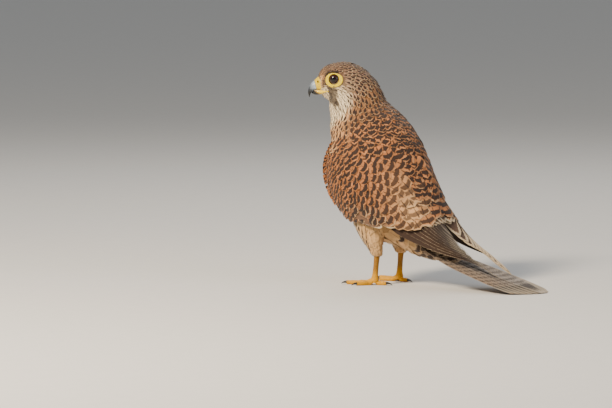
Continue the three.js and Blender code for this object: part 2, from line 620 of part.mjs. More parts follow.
function makeThigh(side, neighbours) {
  const rows = THIGH.map(({ at, across, deep }) => [...at, across, deep]);
  const steps = 7;
  const rings = Array.from({ length: steps + 1 }, (_, i) => {
    const [x, y, z, across, deep] = between(rows, (i * (rows.length - 1)) / steps);
    return roundRing(vec(side * x, y, z), vec(0, 0, 1), across, deep, 16);
  });
  let thigh = solid(loft(rings));
  for (const neighbour of neighbours) thigh = thigh.subtract(neighbour);
  return largest(thigh);
}

// Looks
const PAINT = {
  crown: { color: '#8a6b50', roughness: 0.9 },
  rufous: { color: '#b0754c', roughness: 0.9 },
  wing: { color: '#9a6540', roughness: 0.85 },
  tail: { color: '#8d7a69', roughness: 0.8 },
  buff: { color: '#c9a479', roughness: 0.95 },
  yellow: { color: '#e0a51e', roughness: 0.55 },
  horn: { color: '#4a4f58', roughness: 0.35 },
  claw: { color: '#15130f', roughness: 0.35 },
  eye: { color: '#1a0d08', roughness: 0.08 },
};

const bird = new THREE.Group();

/** Adds a solid to the bird as a named mesh. */
function addPiece(name, body, paint) {
  const { vertProperties, triVerts, numProp } = body.getMesh();
  const geometry = new THREE.BufferGeometry();
  const places = new Float32Array((vertProperties.length / numProp) * 3);
  for (let i = 0; i < places.length / 3; i++) {
    for (let axis = 0; axis < 3; axis++) places[i * 3 + axis] = vertProperties[i * numProp + axis];
  }
  geometry.setAttribute('position', new THREE.BufferAttribute(places, 3));
  geometry.setIndex(Array.from(triVerts));
  geometry.computeVertexNormals();
  const mesh = new THREE.Mesh(geometry, new THREE.MeshStandardMaterial({ ...PAINT[paint], metalness: 0 }));
  mesh.name = name;
  bird.add(mesh);
}

const SIDES = [['left', 1], ['right', -1]];
const trunk = solid(bodyStretch(NECK_END, VENT, 12, 28, { shift: GAP }));
const grownTrunk = solid(bodyStretch(NECK_END, VENT, 12, 28, { grow: GAP, reach: GAP }));
const grownNeck = solid(bodyStretch(HEAD_END, NECK_END + 0.1, 7, 24, { grow: GAP }));

addPiece('head', makeHead(), 'crown');
addPiece('cere', makeCere(), 'yellow');
addPiece('bill_upper', solid(loft(UPPER_BILL.map((ring) => billRing(ring, BILL_SIDES)))), 'horn');
addPiece('bill_lower', solid(loft(LOWER_BILL.map((ring) => billRing(ring, BILL_SIDES)))), 'horn');
addPiece('neck', solid(bodyStretch(HEAD_END, NECK_END, 7, 24, { shift: GAP })), 'rufous');
addPiece('torso', trunk, 'rufous');
addPiece('tail', makeTail(), 'tail');
for (const [name, side] of SIDES) {
  addPiece(`eye_${name}`, eyeball(side), 'eye');
  addPiece(`wing_${name}`, makeWing(side, [grownTrunk, grownNeck]), 'wing');
  addPiece(`thigh_${name}`, makeThigh(side, [grownTrunk]), 'buff');
  addPiece(`shank_${name}`, makeShank(side), 'yellow');
  addPiece(`foot_${name}`, makeFoot(side), 'yellow');
  for (const toe of TOES) addPiece(`claw_${toe.name}_${name}`, makeClaw(side, toe), 'claw');
}

// The origin is the middle of the floor under the bird
const extent = new THREE.Box3().setFromObject(bird);
const middle = extent.getCenter(vec(0, 0, 0));
bird.position.set(-middle.x, -middle.y, -extent.min.z);

export default bird;
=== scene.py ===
"""Looks of a life-size common kestrel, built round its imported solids.

Shapes are worked out in millimetres in the bird's own frame (the floor between its feet, +Z up,
facing -Y, its left at +X), and go into the model in metres.
"""

from __future__ import annotations

import logging
import math
from dataclasses import dataclass, field
from enum import Enum
from typing import Callable, Sequence

import bpy
import numpy as np
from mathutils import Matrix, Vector
from mathutils.bvhtree import BVHTree
from mathutils.kdtree import KDTree

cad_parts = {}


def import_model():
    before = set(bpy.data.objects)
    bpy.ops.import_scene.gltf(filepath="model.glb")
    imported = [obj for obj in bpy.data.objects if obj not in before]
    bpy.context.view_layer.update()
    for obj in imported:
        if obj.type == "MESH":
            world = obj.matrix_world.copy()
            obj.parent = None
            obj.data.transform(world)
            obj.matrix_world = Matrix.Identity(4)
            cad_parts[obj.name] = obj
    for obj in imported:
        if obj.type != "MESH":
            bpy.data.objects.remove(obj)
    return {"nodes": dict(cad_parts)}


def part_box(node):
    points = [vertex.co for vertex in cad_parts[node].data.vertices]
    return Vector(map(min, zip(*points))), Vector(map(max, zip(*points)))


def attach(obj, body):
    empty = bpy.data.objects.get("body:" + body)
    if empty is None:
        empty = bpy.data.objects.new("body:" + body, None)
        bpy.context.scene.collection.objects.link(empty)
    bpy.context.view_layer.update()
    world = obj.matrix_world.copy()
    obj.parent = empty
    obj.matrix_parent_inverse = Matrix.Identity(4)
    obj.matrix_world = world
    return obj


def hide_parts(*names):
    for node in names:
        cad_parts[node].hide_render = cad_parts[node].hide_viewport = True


LOG = logging.getLogger("kestrel")
MM = 0.001
Array = np.ndarray


class Side(Enum):
    """The bird's own left or right."""

    LEFT = 1
    RIGHT = -1

    @property
    def word(self) -> str:
        """Name used in node and piece names."""
        return self.name.lower()


# Sizes shared with the solids

HEAD_TURN = math.radians(35)
TAIL_LENGTH = 166.0
TAIL_DROOP = math.radians(42.6)
TAIL_LIFT = math.radians(25.3)
EYE_RADIUS = 5.6
EYE_LATERAL = 12.2
EYE_TILT = math.radians(14)
RIGHT_TIP_SHIFT = 6.0
LAY_PIVOT = (33.0, 67.0)
LAY_START, LAY_END = -10.0, 75.0

# Sections along the spine: x, y, z, yaw, pitch, half width, reach to the back and front, squareness
SPINE = np.array([
    [19.6, -67.7, 197.9, 35, 98.6, 6.0, 8.4, 8.4, 2.0],
    [18.2, -65.6, 198.2, 35, 95.4, 8.8, 13.7, 12.7, 2.0],
    [15.6, -62.0, 199.3, 35, 92.5, 12.4, 17.2, 17.2, 2.1],
    [12.0, -56.7, 200.5, 35, 83.2, 16.0, 19.4, 21.0, 2.15],
    [7.6, -50.3, 200.3, 34, 66.9, 18.5, 21.9, 27.9, 2.15],
    [3.0, -39.9, 195.2, 30, 51.2, 20.5, 23.1, 34.6, 2.1],
    [0.5, -32.0, 182.9, 24, 36.7, 23.0, 25.4, 36.5, 2.1],
    [0.0, -29.9, 169.0, 15, 26.1, 27.0, 29.6, 36.2, 2.1],
    [0.0, -23.8, 155.4, 8, 24.0, 32.0, 38.0, 39.5, 2.2],
    [0.0, -18.3, 135.6, 0, 25.0, 36.0, 49.0, 45.0, 2.3],
    [0.0, -9.8, 113.9, 0, 28.0, 37.5, 54.0, 47.0, 2.3],
    [0.0, 1.2, 92.4, 0, 34.0, 36.5, 52.5, 44.0, 2.3],
    [0.0, 12.2, 74.9, 0, 40.0, 33.0, 45.0, 37.0, 2.3],
    [0.0, 23.2, 61.4, 0, 45.0, 27.0, 33.5, 28.0, 2.2],
    [0.0, 33.0, 52.8, 0, 47.4, 22.0, 22.0, 20.0, 2.1],
])
VENT = len(SPINE) - 1

# Columns of the folded left wing: lower edge, upper edge, bulge and its direction
WING = np.array([
    [35, -39.0, 79.9, 30.0, -46.1, 141.4, 10.0, -58],
    [39, -24.0, 66.8, 32.6, -33.5, 147.6, 12.2, -35],
    [41, -0.6, 64.1, 36.5, -6.8, 135.6, 9.2, -12],
    [40, 23.1, 55.2, 20.0, 31.0, 136.5, 11.3, 0],
    [37, 43.0, 42.0, 3.0, 47.0, 123.0, 12.5, 5],
    [33, 58.5, 33.4, 0.8, 56.5, 104.6, 11.0, 8],
    [30, 74.7, 24.9, 0.8, 66.8, 81.2, 9.5, 10],
    [27, 89.7, 17.4, 0.8, 75.6, 57.2, 7.5, 10],
    [24, 103.5, 8.9, 1.0, 89.7, 32.0, 5.0, 10],
    [20.5, 114.5, -2.8, 5.0, 105.4, 9.1, 2.0, 10],
    [16.5, 124.1, -15.4, 14.5, 122.5, -12.6, 0.0, 10],
])

# Fleshy root of the tail: along, above, half width, reach up and down
TAIL_ROOT = np.array([
    [0.35, -10.45, 22, 22, 20],
    [14, -9.6, 20, 17, 18],
    [28, -8.2, 17.5, 11, 13.5],
    [42, -6.6, 15.5, 6.5, 8.5],
    [56, -5.6, 14, 3.4, 4.6],
    [66, -5.4, 11, 1.6, 2.2],
])
VENT_ALONG = 9.6

# Bill sections in the head's frame: top and bottom as forward and up, half width, flare at the bite
CERE = np.array([
    [11.5, 4.6, 5.5, -11.2, 7.6, 0.66],
    [14.6, 3.0, 8.8, -11.2, 7.4, 0.62],
    [17.6, 0.6, 13.0, -11.0, 6.4, 0.18],
    [20.0, -1.9, 17.6, -10.9, 5.2, 0.04],
])
UPPER_BILL = np.array([
    [20.3, -2.3, 17.95, -10.9, 5.0, 0],
    [23.0, -4.4, 20.3, -11.2, 4.3, 0],
    [25.0, -7.6, 21.9, -11.9, 3.5, 0],
    [26.2, -11.0, 22.7, -13.4, 2.7, 0],
    [26.5, -14.2, 23.8, -15.2, 1.7, 0],
    [25.9, -17.0, 24.5, -17.1, 0.95, 0],
    [25.2, -18.9, 24.8, -18.8, 0.35, 0],
])
LOWER_BILL = np.array([
    [5.0, -11.9, 6.0, -13.2, 11.6, 0],
    [8.8, -11.65, 9.4, -14.0, 10.6, 0],
    [13.0, -11.4, 13.0, -15.9, 7.0, 0],
    [17.8, -11.3, 17.6, -16.8, 4.7, 0],
    [20.9, -11.7, 20.7, -16.2, 3.4, 0],
    [22.2, -13.1, 22.2, -15.3, 1.6, 0],
    [22.8, -13.9, 22.8, -14.7, 0.7, 0],
])
NOSTRIL = {"forward": 16.6, "up": -3.0, "lateral": 6.2, "radius": 1.05}

# Legs
HUB = (22.0, 0.8)
KNEE = (21.3, 3.6, 29.5)
TOE_OUT = {Side.LEFT: 20.0, Side.RIGHT: 15.0}
THIGH = np.array([
    [21.3, 3.6, 29.8, 4.0, 4.3],
    [21.6, 1.9, 36, 6.2, 8.2],
    [22.2, -1.5, 46, 9.2, 12.8],
    [22.6, -5, 58, 11.2, 16.4],
    [22.6, -7, 70, 11.5, 18],
    [22, -8, 82, 10, 16],
])
TOES = {
    "inner": (38, 19, 2.2, 9.5),
    "middle": (0, 28, 2.4, 9.5),
    "outer": (-34, 20, 2.2, 8.5),
    "hind": (176, 12.5, 2.3, 10),
}


def smooth(value: Array, low: float, high: float) -> Array:
    """Eased step from 0 at low to 1 at high."""
    share = np.clip((np.asarray(value, float) - low) / (high - low), 0, 1)
    return share * share * (3 - 2 * share)


def unit(vectors: Array) -> Array:
    """Vectors scaled to length one."""
    return vectors / np.maximum(np.linalg.norm(vectors, axis=-1, keepdims=True), 1e-9)


def dot(a: Array, b: Array) -> Array:
    """Dot product of rows, kept as a last axis of one."""
    return np.sum(a * b, axis=-1, keepdims=True)


def between(rows: Array, place: Array | float) -> Array:
    """Smooth rows of a table at fractional places.

    Args:
        rows: Table with one row per whole place.
        place: Fractional places along the table.

    Returns:
        One row for each place.
    """
    last = len(rows) - 1
    place = np.clip(np.asarray(place, float), 0, last)
    first = np.minimum(place.astype(int), last - 1)
    t = (place - first)[..., None]
    a, b, c, d = (rows[np.clip(first + k, 0, last)] for k in (-1, 0, 1, 2))
    bend = (2 * a - 5 * b + 4 * c - d) * t * t + (3 * b - a - 3 * c + d) * t**3
    return 0.5 * (2 * b + (c - a) * t + bend)


def superround(value: Array, square: Array) -> Array:
    """Cosine or sine bent towards a squarer outline."""
    return np.sign(value) * np.abs(value) ** (2 / square)


def lay(points: Array) -> Array:
    """Curves the straight tail and wing tips up so that they lie along the floor.

    Args:
        points: Places in the straight bird.

    Returns:
        The same places in the standing bird.
    """
    cos, sin = math.cos(TAIL_DROOP), math.sin(TAIL_DROOP)
    y, z = points[..., 1] - LAY_PIVOT[0], points[..., 2] - LAY_PIVOT[1]
    along, above = y * cos - z * sin, y * sin + z * cos
    length = LAY_END - LAY_START
    radius = length / TAIL_LIFT
    angle = np.clip(along - LAY_START, 0, length) / radius
    beyond = np.maximum(along - LAY_END, 0)
    before = np.minimum(along, LAY_START)
    run = before + (radius - above) * np.sin(angle) + beyond * np.cos(angle)
    rise = radius - (radius - above) * np.cos(angle) + beyond * np.sin(angle)
    new_y = LAY_PIVOT[0] + run * cos + rise * sin
    new_z = LAY_PIVOT[1] - run * sin + rise * cos
    return np.stack([points[..., 0], new_y, new_z], axis=-1)


def spine_point(place: Array, angle: Array, grow: float | Array = 0.0) -> Array:
    """Places on the trunk, neck and head, by section and by angle from the back (0) to the front (pi).

    Args:
        place: Fractional sections, from the face (0) to the vent.
        angle: Angles round the section; positive sines lie on the bird's left.
        grow: Millimetres outward of the solids' surface.

    Returns:
        Points in the standing bird.
    """
    row = between(SPINE, place)
    yaw, pitch = np.radians(row[..., 3]), np.radians(row[..., 4])
    across = np.stack([np.cos(yaw), np.sin(yaw), 0 * yaw], axis=-1)
    level = np.cos(pitch)
    backward = np.stack([-np.sin(yaw) * level, np.cos(yaw) * level, np.sin(pitch)], axis=-1)
    c, s = np.cos(angle), np.sin(angle)
    reach = np.where(c > 0, row[..., 6], row[..., 7]) + grow
    side = superround(s, row[..., 8]) * (row[..., 5] + grow)
    depth = superround(c, row[..., 8]) * reach
    return lay(row[..., :3] + across * side[..., None] + backward * depth[..., None])


HEAD_ORIGIN = np.array([10.9, -55.2, 203.6])
HEAD_FORWARD = np.array([math.sin(HEAD_TURN), -math.cos(HEAD_TURN), 0])
HEAD_ACROSS = np.array([math.cos(HEAD_TURN), math.sin(HEAD_TURN), 0])


def in_head(forward: Array, across: Array, up: Array) -> Array:
    """Places given in the head's own frame, from between its eyes."""
    forward, across, up = np.broadcast_arrays(forward, across, up)
    places = HEAD_ORIGIN + forward[..., None] * HEAD_FORWARD + across[..., None] * HEAD_ACROSS
    return places + up[..., None] * np.array([0, 0, 1.0])


def to_head(points: Array) -> Array:
    """Forward, across and up of places, in the head's own frame."""
    local = points - HEAD_ORIGIN
    return np.stack([local @ HEAD_FORWARD, local @ HEAD_ACROSS, local[..., 2]], axis=-1)


def eye_look(side: Side) -> Array:
    """Unit vector that an eye looks along."""
    return HEAD_FORWARD * math.sin(EYE_TILT) + HEAD_ACROSS * side.value * math.cos(EYE_TILT)


def eye_centre(side: Side) -> Array:
    """Middle of an eyeball."""
    return in_head(0.0, side.value * EYE_LATERAL, 0.0)


def lid_reach(turn: Array) -> Array:
    """How far the bare skin reaches from the middle of the eye, by the turn from straight ahead to up."""
    front, rear = np.maximum(np.cos(turn), 0), np.maximum(-np.cos(turn), 0)
    return 6.1 + 2.7 * front**2 + 3.2 * rear**3 + 2.0 * np.maximum(-np.sin(turn), 0)


def wing_point(s: Array, t: Array) -> Array:
    """Places on the left wing's outer surface, in the straight bird."""
    row = between(WING, s)
    swell = row[..., 6] * 4 * t * (1 - t)
    turn = np.radians(row[..., 7])
    low, high = row[..., :3], row[..., 3:6]
    bulge = np.stack([np.cos(turn), np.sin(turn), 0.1 + 0 * turn], axis=-1)
    return low + (high - low) * np.asarray(t)[..., None] + bulge * swell[..., None]


def wing_out(s: Array, t: Array) -> Array:
    """Outward direction of the left wing's surface."""
    step = 0.02
    back = wing_point(s + step, t) - wing_point(s - step, t)
    up = wing_point(s, np.minimum(t + step, 1)) - wing_point(s, np.maximum(t - step, 0))
    return unit(np.cross(back, up))


def in_wing(s: Array, t: Array, depth: Array | float) -> Array:
    """Places under the left wing's surface, by some millimetres."""
    return wing_point(s, t) - wing_out(s, t) * np.asarray(depth)[..., None]


def on_side(points: Array, side: Side) -> Array:
    """Moves left wing places to either side and lays them along the floor."""
    shift = RIGHT_TIP_SHIFT * smooth(points[..., 1], 80, 124) if side is Side.RIGHT else 0
    placed = points.copy()
    placed[..., 0] = placed[..., 0] * side.value + shift
    return lay(placed)


def in_tail(along: Array, above: Array, across: Array) -> Array:
    """Places in the straight tail's frame."""
    cos, sin = math.cos(TAIL_DROOP), math.sin(TAIL_DROOP)
    along, above, across = np.broadcast_arrays(along, above, across)
    y = LAY_PIVOT[0] + along * cos + above * sin
    z = LAY_PIVOT[1] - along * sin + above * cos
    return np.stack([across, y, z], axis=-1)


def tone(code: str) -> tuple[float, float, float]:
    """Linear colour from a web colour code."""
    parts = [int(code[i : i + 2], 16) / 255 for i in (1, 3, 5)]
    return tuple(p / 12.92 if p <= 0.04045 else ((p + 0.055) / 1.055) ** 2.4 for p in parts)


# Meshes


@dataclass
class Model:
    """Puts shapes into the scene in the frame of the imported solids."""

    shift: Array = field(default_factory=lambda: np.zeros(3))

    def align(self) -> None:
        """Finds where the bird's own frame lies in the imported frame, from its left eye."""
        low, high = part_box("eye_left")
        middle = (np.array(low) + np.array(high)) / 2 / MM
        self.shift = middle - eye_centre(Side.LEFT)

    def metres(self, points: Array) -> Array:
        """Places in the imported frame, in metres."""
        return (points + self.shift) * MM

    def mesh(self, name: str, points: Array, faces: Sequence | Array) -> bpy.types.Object:
        """Makes a smooth-shaded mesh object.

        Args:
            name: Name of the piece.
            points: Vertices in millimetres, in the bird's frame.
            faces: Vertex numbers of each face.

        Returns:
            The linked object.
        """
        data = bpy.data.meshes.new(name)
        lists = faces.tolist() if isinstance(faces, np.ndarray) else faces
        places = self.metres(np.asarray(points))
        places[:, 2] = np.maximum(places[:, 2], 0.0)
        data.from_pydata(places.tolist(), [], lists)
        data.shade_smooth()
        piece = bpy.data.objects.new(name, data)
        bpy.context.scene.collection.objects.link(piece)
        return piece


MODEL = Model()


def keep(piece: bpy.types.Object, slot: str, *nodes: str) -> bpy.types.Object:
    """Attaches a piece to the body, so that it rides on it, hides the nodes that it stands for, and reports
    it.

    Args:
        piece: The piece.
        slot: Material slot meant for it; not used.
        nodes: Nodes that it stands for.

    Returns:
        The same piece.
    """
    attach(piece, "root")
    if nodes:
        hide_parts(*nodes)
    corners = len(piece.data.loops) - 2 * len(piece.data.polygons)
    LOG.info("%s: %d triangles", piece.name, corners)
    return piece


def paint(piece: bpy.types.Object, name: str, values: Array) -> None:
    """Stores a value for every vertex, as a colour of four or a vector of three."""
    kind, key = ("FLOAT_COLOR", "color") if values.shape[1] == 4 else ("FLOAT_VECTOR", "vector")
    layer = piece.data.attributes.new(name, kind, "POINT")
    layer.data.foreach_set(key, np.ascontiguousarray(values, np.float32).ravel())


def loft(rings: Array) -> tuple[Array, list[list[int]]]:
    """Closed surface through equal rings.

    Args:
        rings: Points as rings by sides by three.

    Returns:
        Points and faces, with a fan of triangles at each end.
    """
    count, sides = rings.shape[:2]
    points = rings.reshape(-1, 3)
    j = np.arange(sides)
    following = (j + 1) % sides
    faces: list[list[int]] = []
    for i in range(count - 1):
        a = i * sides
        faces += np.stack([a + j, a + following, a + sides + following, a + sides + j], axis=1).tolist()
    ends = np.array([rings[0].mean(axis=0), rings[-1].mean(axis=0)])
    first, last = len(points), (count - 1) * sides
    faces += np.stack([following, j, np.full(sides, first)], axis=1).tolist()
    faces += np.stack([last + j, last + following, np.full(sides, first + 1)], axis=1).tolist()
    return np.vstack([points, ends]), faces


def face_outward(points: Array, faces: list[list[int]]) -> list[list[int]]:
    """Turns a closed surface's faces so that they look outward.

    Args:
        points: Its points.
        faces: Its faces.

    Returns:
        The faces, all turned round if they looked inward.
    """
    volume = 0.0
    for face in faces:
        a, b, c = (points[face[k]] for k in (0, 1, 2))
        volume += float(np.dot(a, np.cross(b, c)))
        if len(face) == 4:
            volume += float(np.dot(a, np.cross(c, points[face[3]])))
    return [face[::-1] for face in faces] if volume < 0 else faces


def join_shapes(shapes: Sequence[tuple[Array, list[list[int]]]]) -> tuple[Array, list[list[int]]]:
    """Several closed shapes as one set of points and faces, all of them facing outward.

    Args:
        shapes: Points and faces of each shape.

    Returns:
        The joined points and faces.
    """
    points: list[Array] = []
    faces: list[list[int]] = []
    start = 0
    for corners, sides in shapes:
        faces += [[start + k for k in face] for face in face_outward(corners, sides)]
        points.append(corners)
        start += len(corners)
    return np.vstack(points), faces


def one_surface(piece: bpy.types.Object, voxel: float, rounds: int) -> bpy.types.Mesh:
    """Fuses the shapes of a piece into one closed, softened surface.

    Args:
        piece: Object whose shapes overlap.
        voxel: Size of the remesh's cells in millimetres.
        rounds: How often it is softened.

    Returns:
        A new mesh, without materials.
    """
    remesh = piece.modifiers.new("one surface", "REMESH")
    remesh.mode = "VOXEL"
    remesh.voxel_size = voxel * MM
    soften = piece.modifiers.new("soften", "SMOOTH")
    soften.factor = 0.5
    soften.iterations = rounds
    shaped = piece.evaluated_get(bpy.context.evaluated_depsgraph_get())
    data = bpy.data.meshes.new_from_object(shaped)
    data.shade_smooth()
    data.materials.clear()
    return data


def finder_of(places: Array) -> KDTree:
    """Search tree that finds the nearest of some places."""
    finder = KDTree(len(places))
    for i, place in enumerate(places.tolist()):
        finder.insert(place, i)
    finder.balance()
    return finder


# Shader building


class Value:
    """A number in a node tree; arithmetic on it adds Math nodes."""

    def __init__(self, web: "Web", socket: bpy.types.NodeSocket) -> None:
        """Wraps a socket of a web."""
        self.web = web
        self.socket = socket

    def _maths(self, operation: str, *others: "Value | float") -> "Value":
        """Adds one Math node that starts from this value."""
        inputs = {k: value for k, value in enumerate((self, *others))}
        return self.web.add("ShaderNodeMath", {"operation": operation}, inputs)

    def __add__(self, other: "Value | float") -> "Value":
        """Sum."""
        return self._maths("ADD", other)

    __radd__ = __add__

    def __mul__(self, other: "Value | float") -> "Value":
        """Product."""
        return self._maths("MULTIPLY", other)

    __rmul__ = __mul__

    def __sub__(self, other: "Value | float") -> "Value":
        """Difference."""
        return self._maths("SUBTRACT", other)

    def __rsub__(self, other: float) -> "Value":
        """Difference from a number."""
        return self.web.add("ShaderNodeMath", {"operation": "SUBTRACT"}, {0: other, 1: self})

    def __truediv__(self, other: "Value | float") -> "Value":
        """Quotient."""
        return self._maths("DIVIDE", other)

    def __rtruediv__(self, other: float) -> "Value":
        """Quotient of a number by this value."""
        return self.web.add("ShaderNodeMath", {"operation": "DIVIDE"}, {0: other, 1: self})

    def __abs__(self) -> "Value":
        """Size without its sign."""
        return self._maths("ABSOLUTE")

    def sine(self) -> "Value":
        """Sine of an angle in radians."""
        return self._maths("SINE")

    def fraction(self) -> "Value":
        """What is left above the whole number."""
        return self._maths("FRACT")

    def most(self, other: "Value | float") -> "Value":
        """The larger of two."""
        return self._maths("MAXIMUM", other)

    def ease(self, low: "Value | float", high: "Value | float") -> "Value":
        """Eased step between two levels.

        Args:
            low: Level where the step is 0.
            high: Level where it is 1, which may be the smaller.

        Returns:
            The step's value.
        """
        settings = {"interpolation_type": "SMOOTHSTEP"}
        inputs = {"Value": self, "From Min": low, "From Max": high}
        return self.web.add("ShaderNodeMapRange", settings, inputs)


class Web:
    """Builds one material's nodes."""

    def __init__(self, name: str) -> None:
        """Starts a material with an empty tree."""
        self.material = bpy.data.materials.new(name)
        self.material.use_nodes = True
        self.tree = self.material.node_tree
        self.tree.nodes.clear()

    def node(self, kind: str, settings: dict, inputs: dict) -> bpy.types.Node:
        """Adds a node.

        Args:
            kind: Type name of the node.
            settings: Properties to set first; "stops" holds a ramp's positions and colours.
            inputs: Socket name or number to a plain value or a Value to link.

        Returns:
            The node.
        """
        node = self.tree.nodes.new(kind)
        for key, value in settings.items():
            if key == "stops":
                ramp = node.color_ramp
                while len(ramp.elements) < len(value):
                    ramp.elements.new(1.0)
                for element, (position, colour) in zip(ramp.elements, value):
                    element.position = position
                    element.color = (*colour, 1.0)
            else:
                setattr(node, key, value)
        for key, value in inputs.items():
            if isinstance(value, Value):
                self.tree.links.new(value.socket, node.inputs[key])
            else:
                node.inputs[key].default_value = value
        return node

    def add(self, kind: str, settings: dict, inputs: dict, output: int | str = 0) -> Value:
        """Adds a node, as node() does, and gives back the output that is named or numbered."""
        return Value(self, self.node(kind, settings, inputs).outputs[output])

    def mix(self, share: Value | float, a: Value | tuple, b: Value | tuple) -> Value:
        """Colour between two.

        Args:
            share: 0 gives the first colour, 1 the second.
            a: First colour.
            b: Second colour.

        Returns:
            The mixed colour.
        """
        first = a if isinstance(a, Value) else (*a, 1.0)
        second = b if isinstance(b, Value) else (*b, 1.0)
        colours = {6: first, 7: second}
        settings = {"data_type": "RGBA", "clamp_factor": True}
        return self.add("ShaderNodeMix", settings, {0: share, **colours}, 2)

    def shade(self, colour: Value, factor: Value) -> Value:
        """Colour times a number."""
        return self.add("ShaderNodeVectorMath", {"operation": "SCALE"}, {0: colour, "Scale": factor})

    def parts(self, vector: Value) -> list[Value]:
        """The three numbers of a vector."""
        split = self.add("ShaderNodeSeparateXYZ", {}, {0: vector})
        return [Value(self, socket) for socket in split.socket.node.outputs]

    def read(self, name: str, output: str = "Vector") -> Value:
        """A value stored on the mesh."""
        return self.add("ShaderNodeAttribute", {"attribute_name": name}, {}, output)

    def where(self) -> Value:
        """Place on the object, in metres."""
        return self.add("ShaderNodeTexCoord", {}, {}, "Object")

    def noise(self, scale: float, detail: float = 2.0, at: Value | None = None) -> Value:
        """Soft noise round a half."""
        inputs = {"Vector": at or self.where(), "Scale": scale, "Detail": detail}
        return self.add("ShaderNodeTexNoise", {}, inputs)

    def cells(self, scale: float, feature: str = "F1", at: Value | None = None) -> Value:
        """Distance pattern of scattered cells."""
        inputs = {"Vector": at or self.where(), "Scale": scale}
        return self.add("ShaderNodeTexVoronoi", {"feature": feature}, inputs, "Distance")

    def finish(self, inputs: dict, bump: Value | None = None, distance: float = 0.0002,
               strength: float = 0.5) -> bpy.types.Material:
        """Joins everything into the shader.

        Args:
            inputs: Sockets of the principled shader.
            bump: Height of the surface's relief.
            distance: Depth of the relief in metres.
            strength: Share of the relief that shows.

        Returns:
            The finished material.
        """
        if bump is not None:
            relief = {"Height": bump, "Distance": distance, "Strength": strength}
            inputs = {**inputs, "Normal": self.add("ShaderNodeBump", {}, relief)}
        shader = self.add("ShaderNodeBsdfPrincipled", {}, inputs)
        self.node("ShaderNodeOutputMaterial", {}, {"Surface": shader})
        return self.material


@dataclass(frozen=True)
class FeatherFinish:
    """Plumage: ground colour with a dark shaft streak, bars and pale edges drawn on each feather."""

    name: str
    dark: str = "#2f211a"
    pale: str = "#d2b68c"
    roughness: float = 0.78
    shaft: str = "#4a3526"
    bars_per_10cm: float = 11.0
    scatter: float = 0.35
    band: float = 0.0
    rim_from: float = 0.92

    def build(self) -> bpy.types.Material:
        """Makes the material.

        Returns:
            A material that reads the feather's own coordinates and marks.
        """
        web = Web(self.name)
        along, across, seed = web.parts(web.read("vane"))
        streak, bars, edge = web.parts(web.read("marks"))
        length = web.read("marks", "Alpha")
        ground = web.read("ground", "Color")
        side = abs(across)
        ragged = web.noise(900.0, 3.0) - 0.5
        drift = web.noise(160.0, 2.0) - 0.5
        u = along + ragged * 0.10
        v = side + ragged * 0.22
        width = streak * (0.3 + 0.7 * u.ease(0.35, 0.8))
        line = v.ease(width + 0.03, width - 0.10) * streak.ease(0.02, 0.08) * u.ease(1.04, 0.92)
        cycles = (length * self.bars_per_10cm).most(1.45)
        wave = ((u - 0.76) * cycles + v * v * 0.30 + (seed - 0.5) * self.scatter + 0.5).fraction()
        bar = abs(wave - 0.5).ease(0.31, 0.22) * v.ease(1.02, 0.80) * bars
        inside = self.rim_from
        rim = (u + v * v * 0.16).ease(inside, 0.99).most(v.ease(inside, 0.99) * u.ease(0.25, 0.6)) * edge
        dark = tone(self.dark)
        band = u.ease(0.83, 0.86) * u.ease(0.975, 0.955) * self.band
        colour = web.mix(line.most(bar * u.ease(0.98, 0.9)).most(band), ground, dark)
        colour = web.mix(rim, colour, tone(self.pale))
        rachis = side.ease(0.045, 0.01) * 0.55
        colour = web.mix(rachis, colour, tone(self.shaft))
        barbs = (along * length * 2600.0 - side * length * 1500.0 + ragged * 3.0).sine()
        light = 1.0 + drift * 0.45 + ragged * 0.30 + barbs * 0.035 + (seed - 0.5) * 0.16
        colour = web.shade(colour, light)
        rough = self.roughness + ragged * 0.15
        relief = barbs * 0.35 + ragged + side.ease(0.07, 0.0) * 1.5
        inputs = {"Base Color": colour, "Roughness": rough, "Specular IOR Level": 0.22}
        return web.finish({**inputs, "Sheen Weight": 0.12}, relief, 0.00012, 0.55)


@dataclass(frozen=True)
class UnderFinish:
    """Skin and down under the feathers, in the plumage's own ground colours dimmed as painted shade."""

    name: str = "down"

    def build(self) -> bpy.types.Material:
        """Makes the material.

        Returns:
            A soft, fibrous material.
        """
        web = Web(self.name)
        fluff = web.noise(1400.0, 4.0)
        # Painted shade: the ground colours dimmed to between 0.35 and 0.85 under the coat.
        colour = web.shade(web.read("ground", "Color"), 0.35 + fluff * 0.5)
        inputs = {"Base Color": colour, "Roughness": 0.95, "Specular IOR Level": 0.1}
        return web.finish(inputs, fluff, 0.0004, 0.6)


@dataclass(frozen=True)
class BareSkinFinish:
    """Yellow bare skin with fine scales or wrinkles."""

    name: str
    base: str = "#e2a417"
    deep: str = "#8a5510"
    cell: float = 900.0
    gloss: float = 0.42
    soil: float = 0.25
    shank: float = 0.0

    def build(self) -> bpy.types.Material:
        """Makes the material.

        Returns:
            A scaly material, with painted shade in the creases between its scales and in hollows.
        """
        web = Web(self.name)
        scales = web.cells(self.cell, "DISTANCE_TO_EDGE")
        crease = scales.ease(0.09, 0.0)
        patch = web.noise(220.0, 4.0)
        dirt = patch.ease(0.48, 0.72) * self.soil
        _, _, hollow_shade = web.parts(web.read("vane"))
        # Painted shade darkens the creases between scales; the noise patches are dirt.
        colour = web.mix((crease * 0.45).most(dirt), tone(self.base), tone(self.deep))
        _, _, height = web.parts(web.where())
        colour = web.mix(height.ease(0.007, 0.018) * self.shank, colour, tone("#6b4420"))
        # Painted shade: near black in each nostril's hollow and on the lids' rings beside the eyeball.
        colour = web.mix(hollow_shade, colour, tone("#1c0b05"))
        colour = web.shade(colour, 0.82 + web.noise(1500.0, 2.0) * 0.36)
        inputs = {"Base Color": colour, "Roughness": self.gloss + crease * 0.25, "Specular IOR Level": 0.3}
        return web.finish(inputs, scales.ease(0.0, 0.16) + patch * 0.3, 0.00018, 0.7)


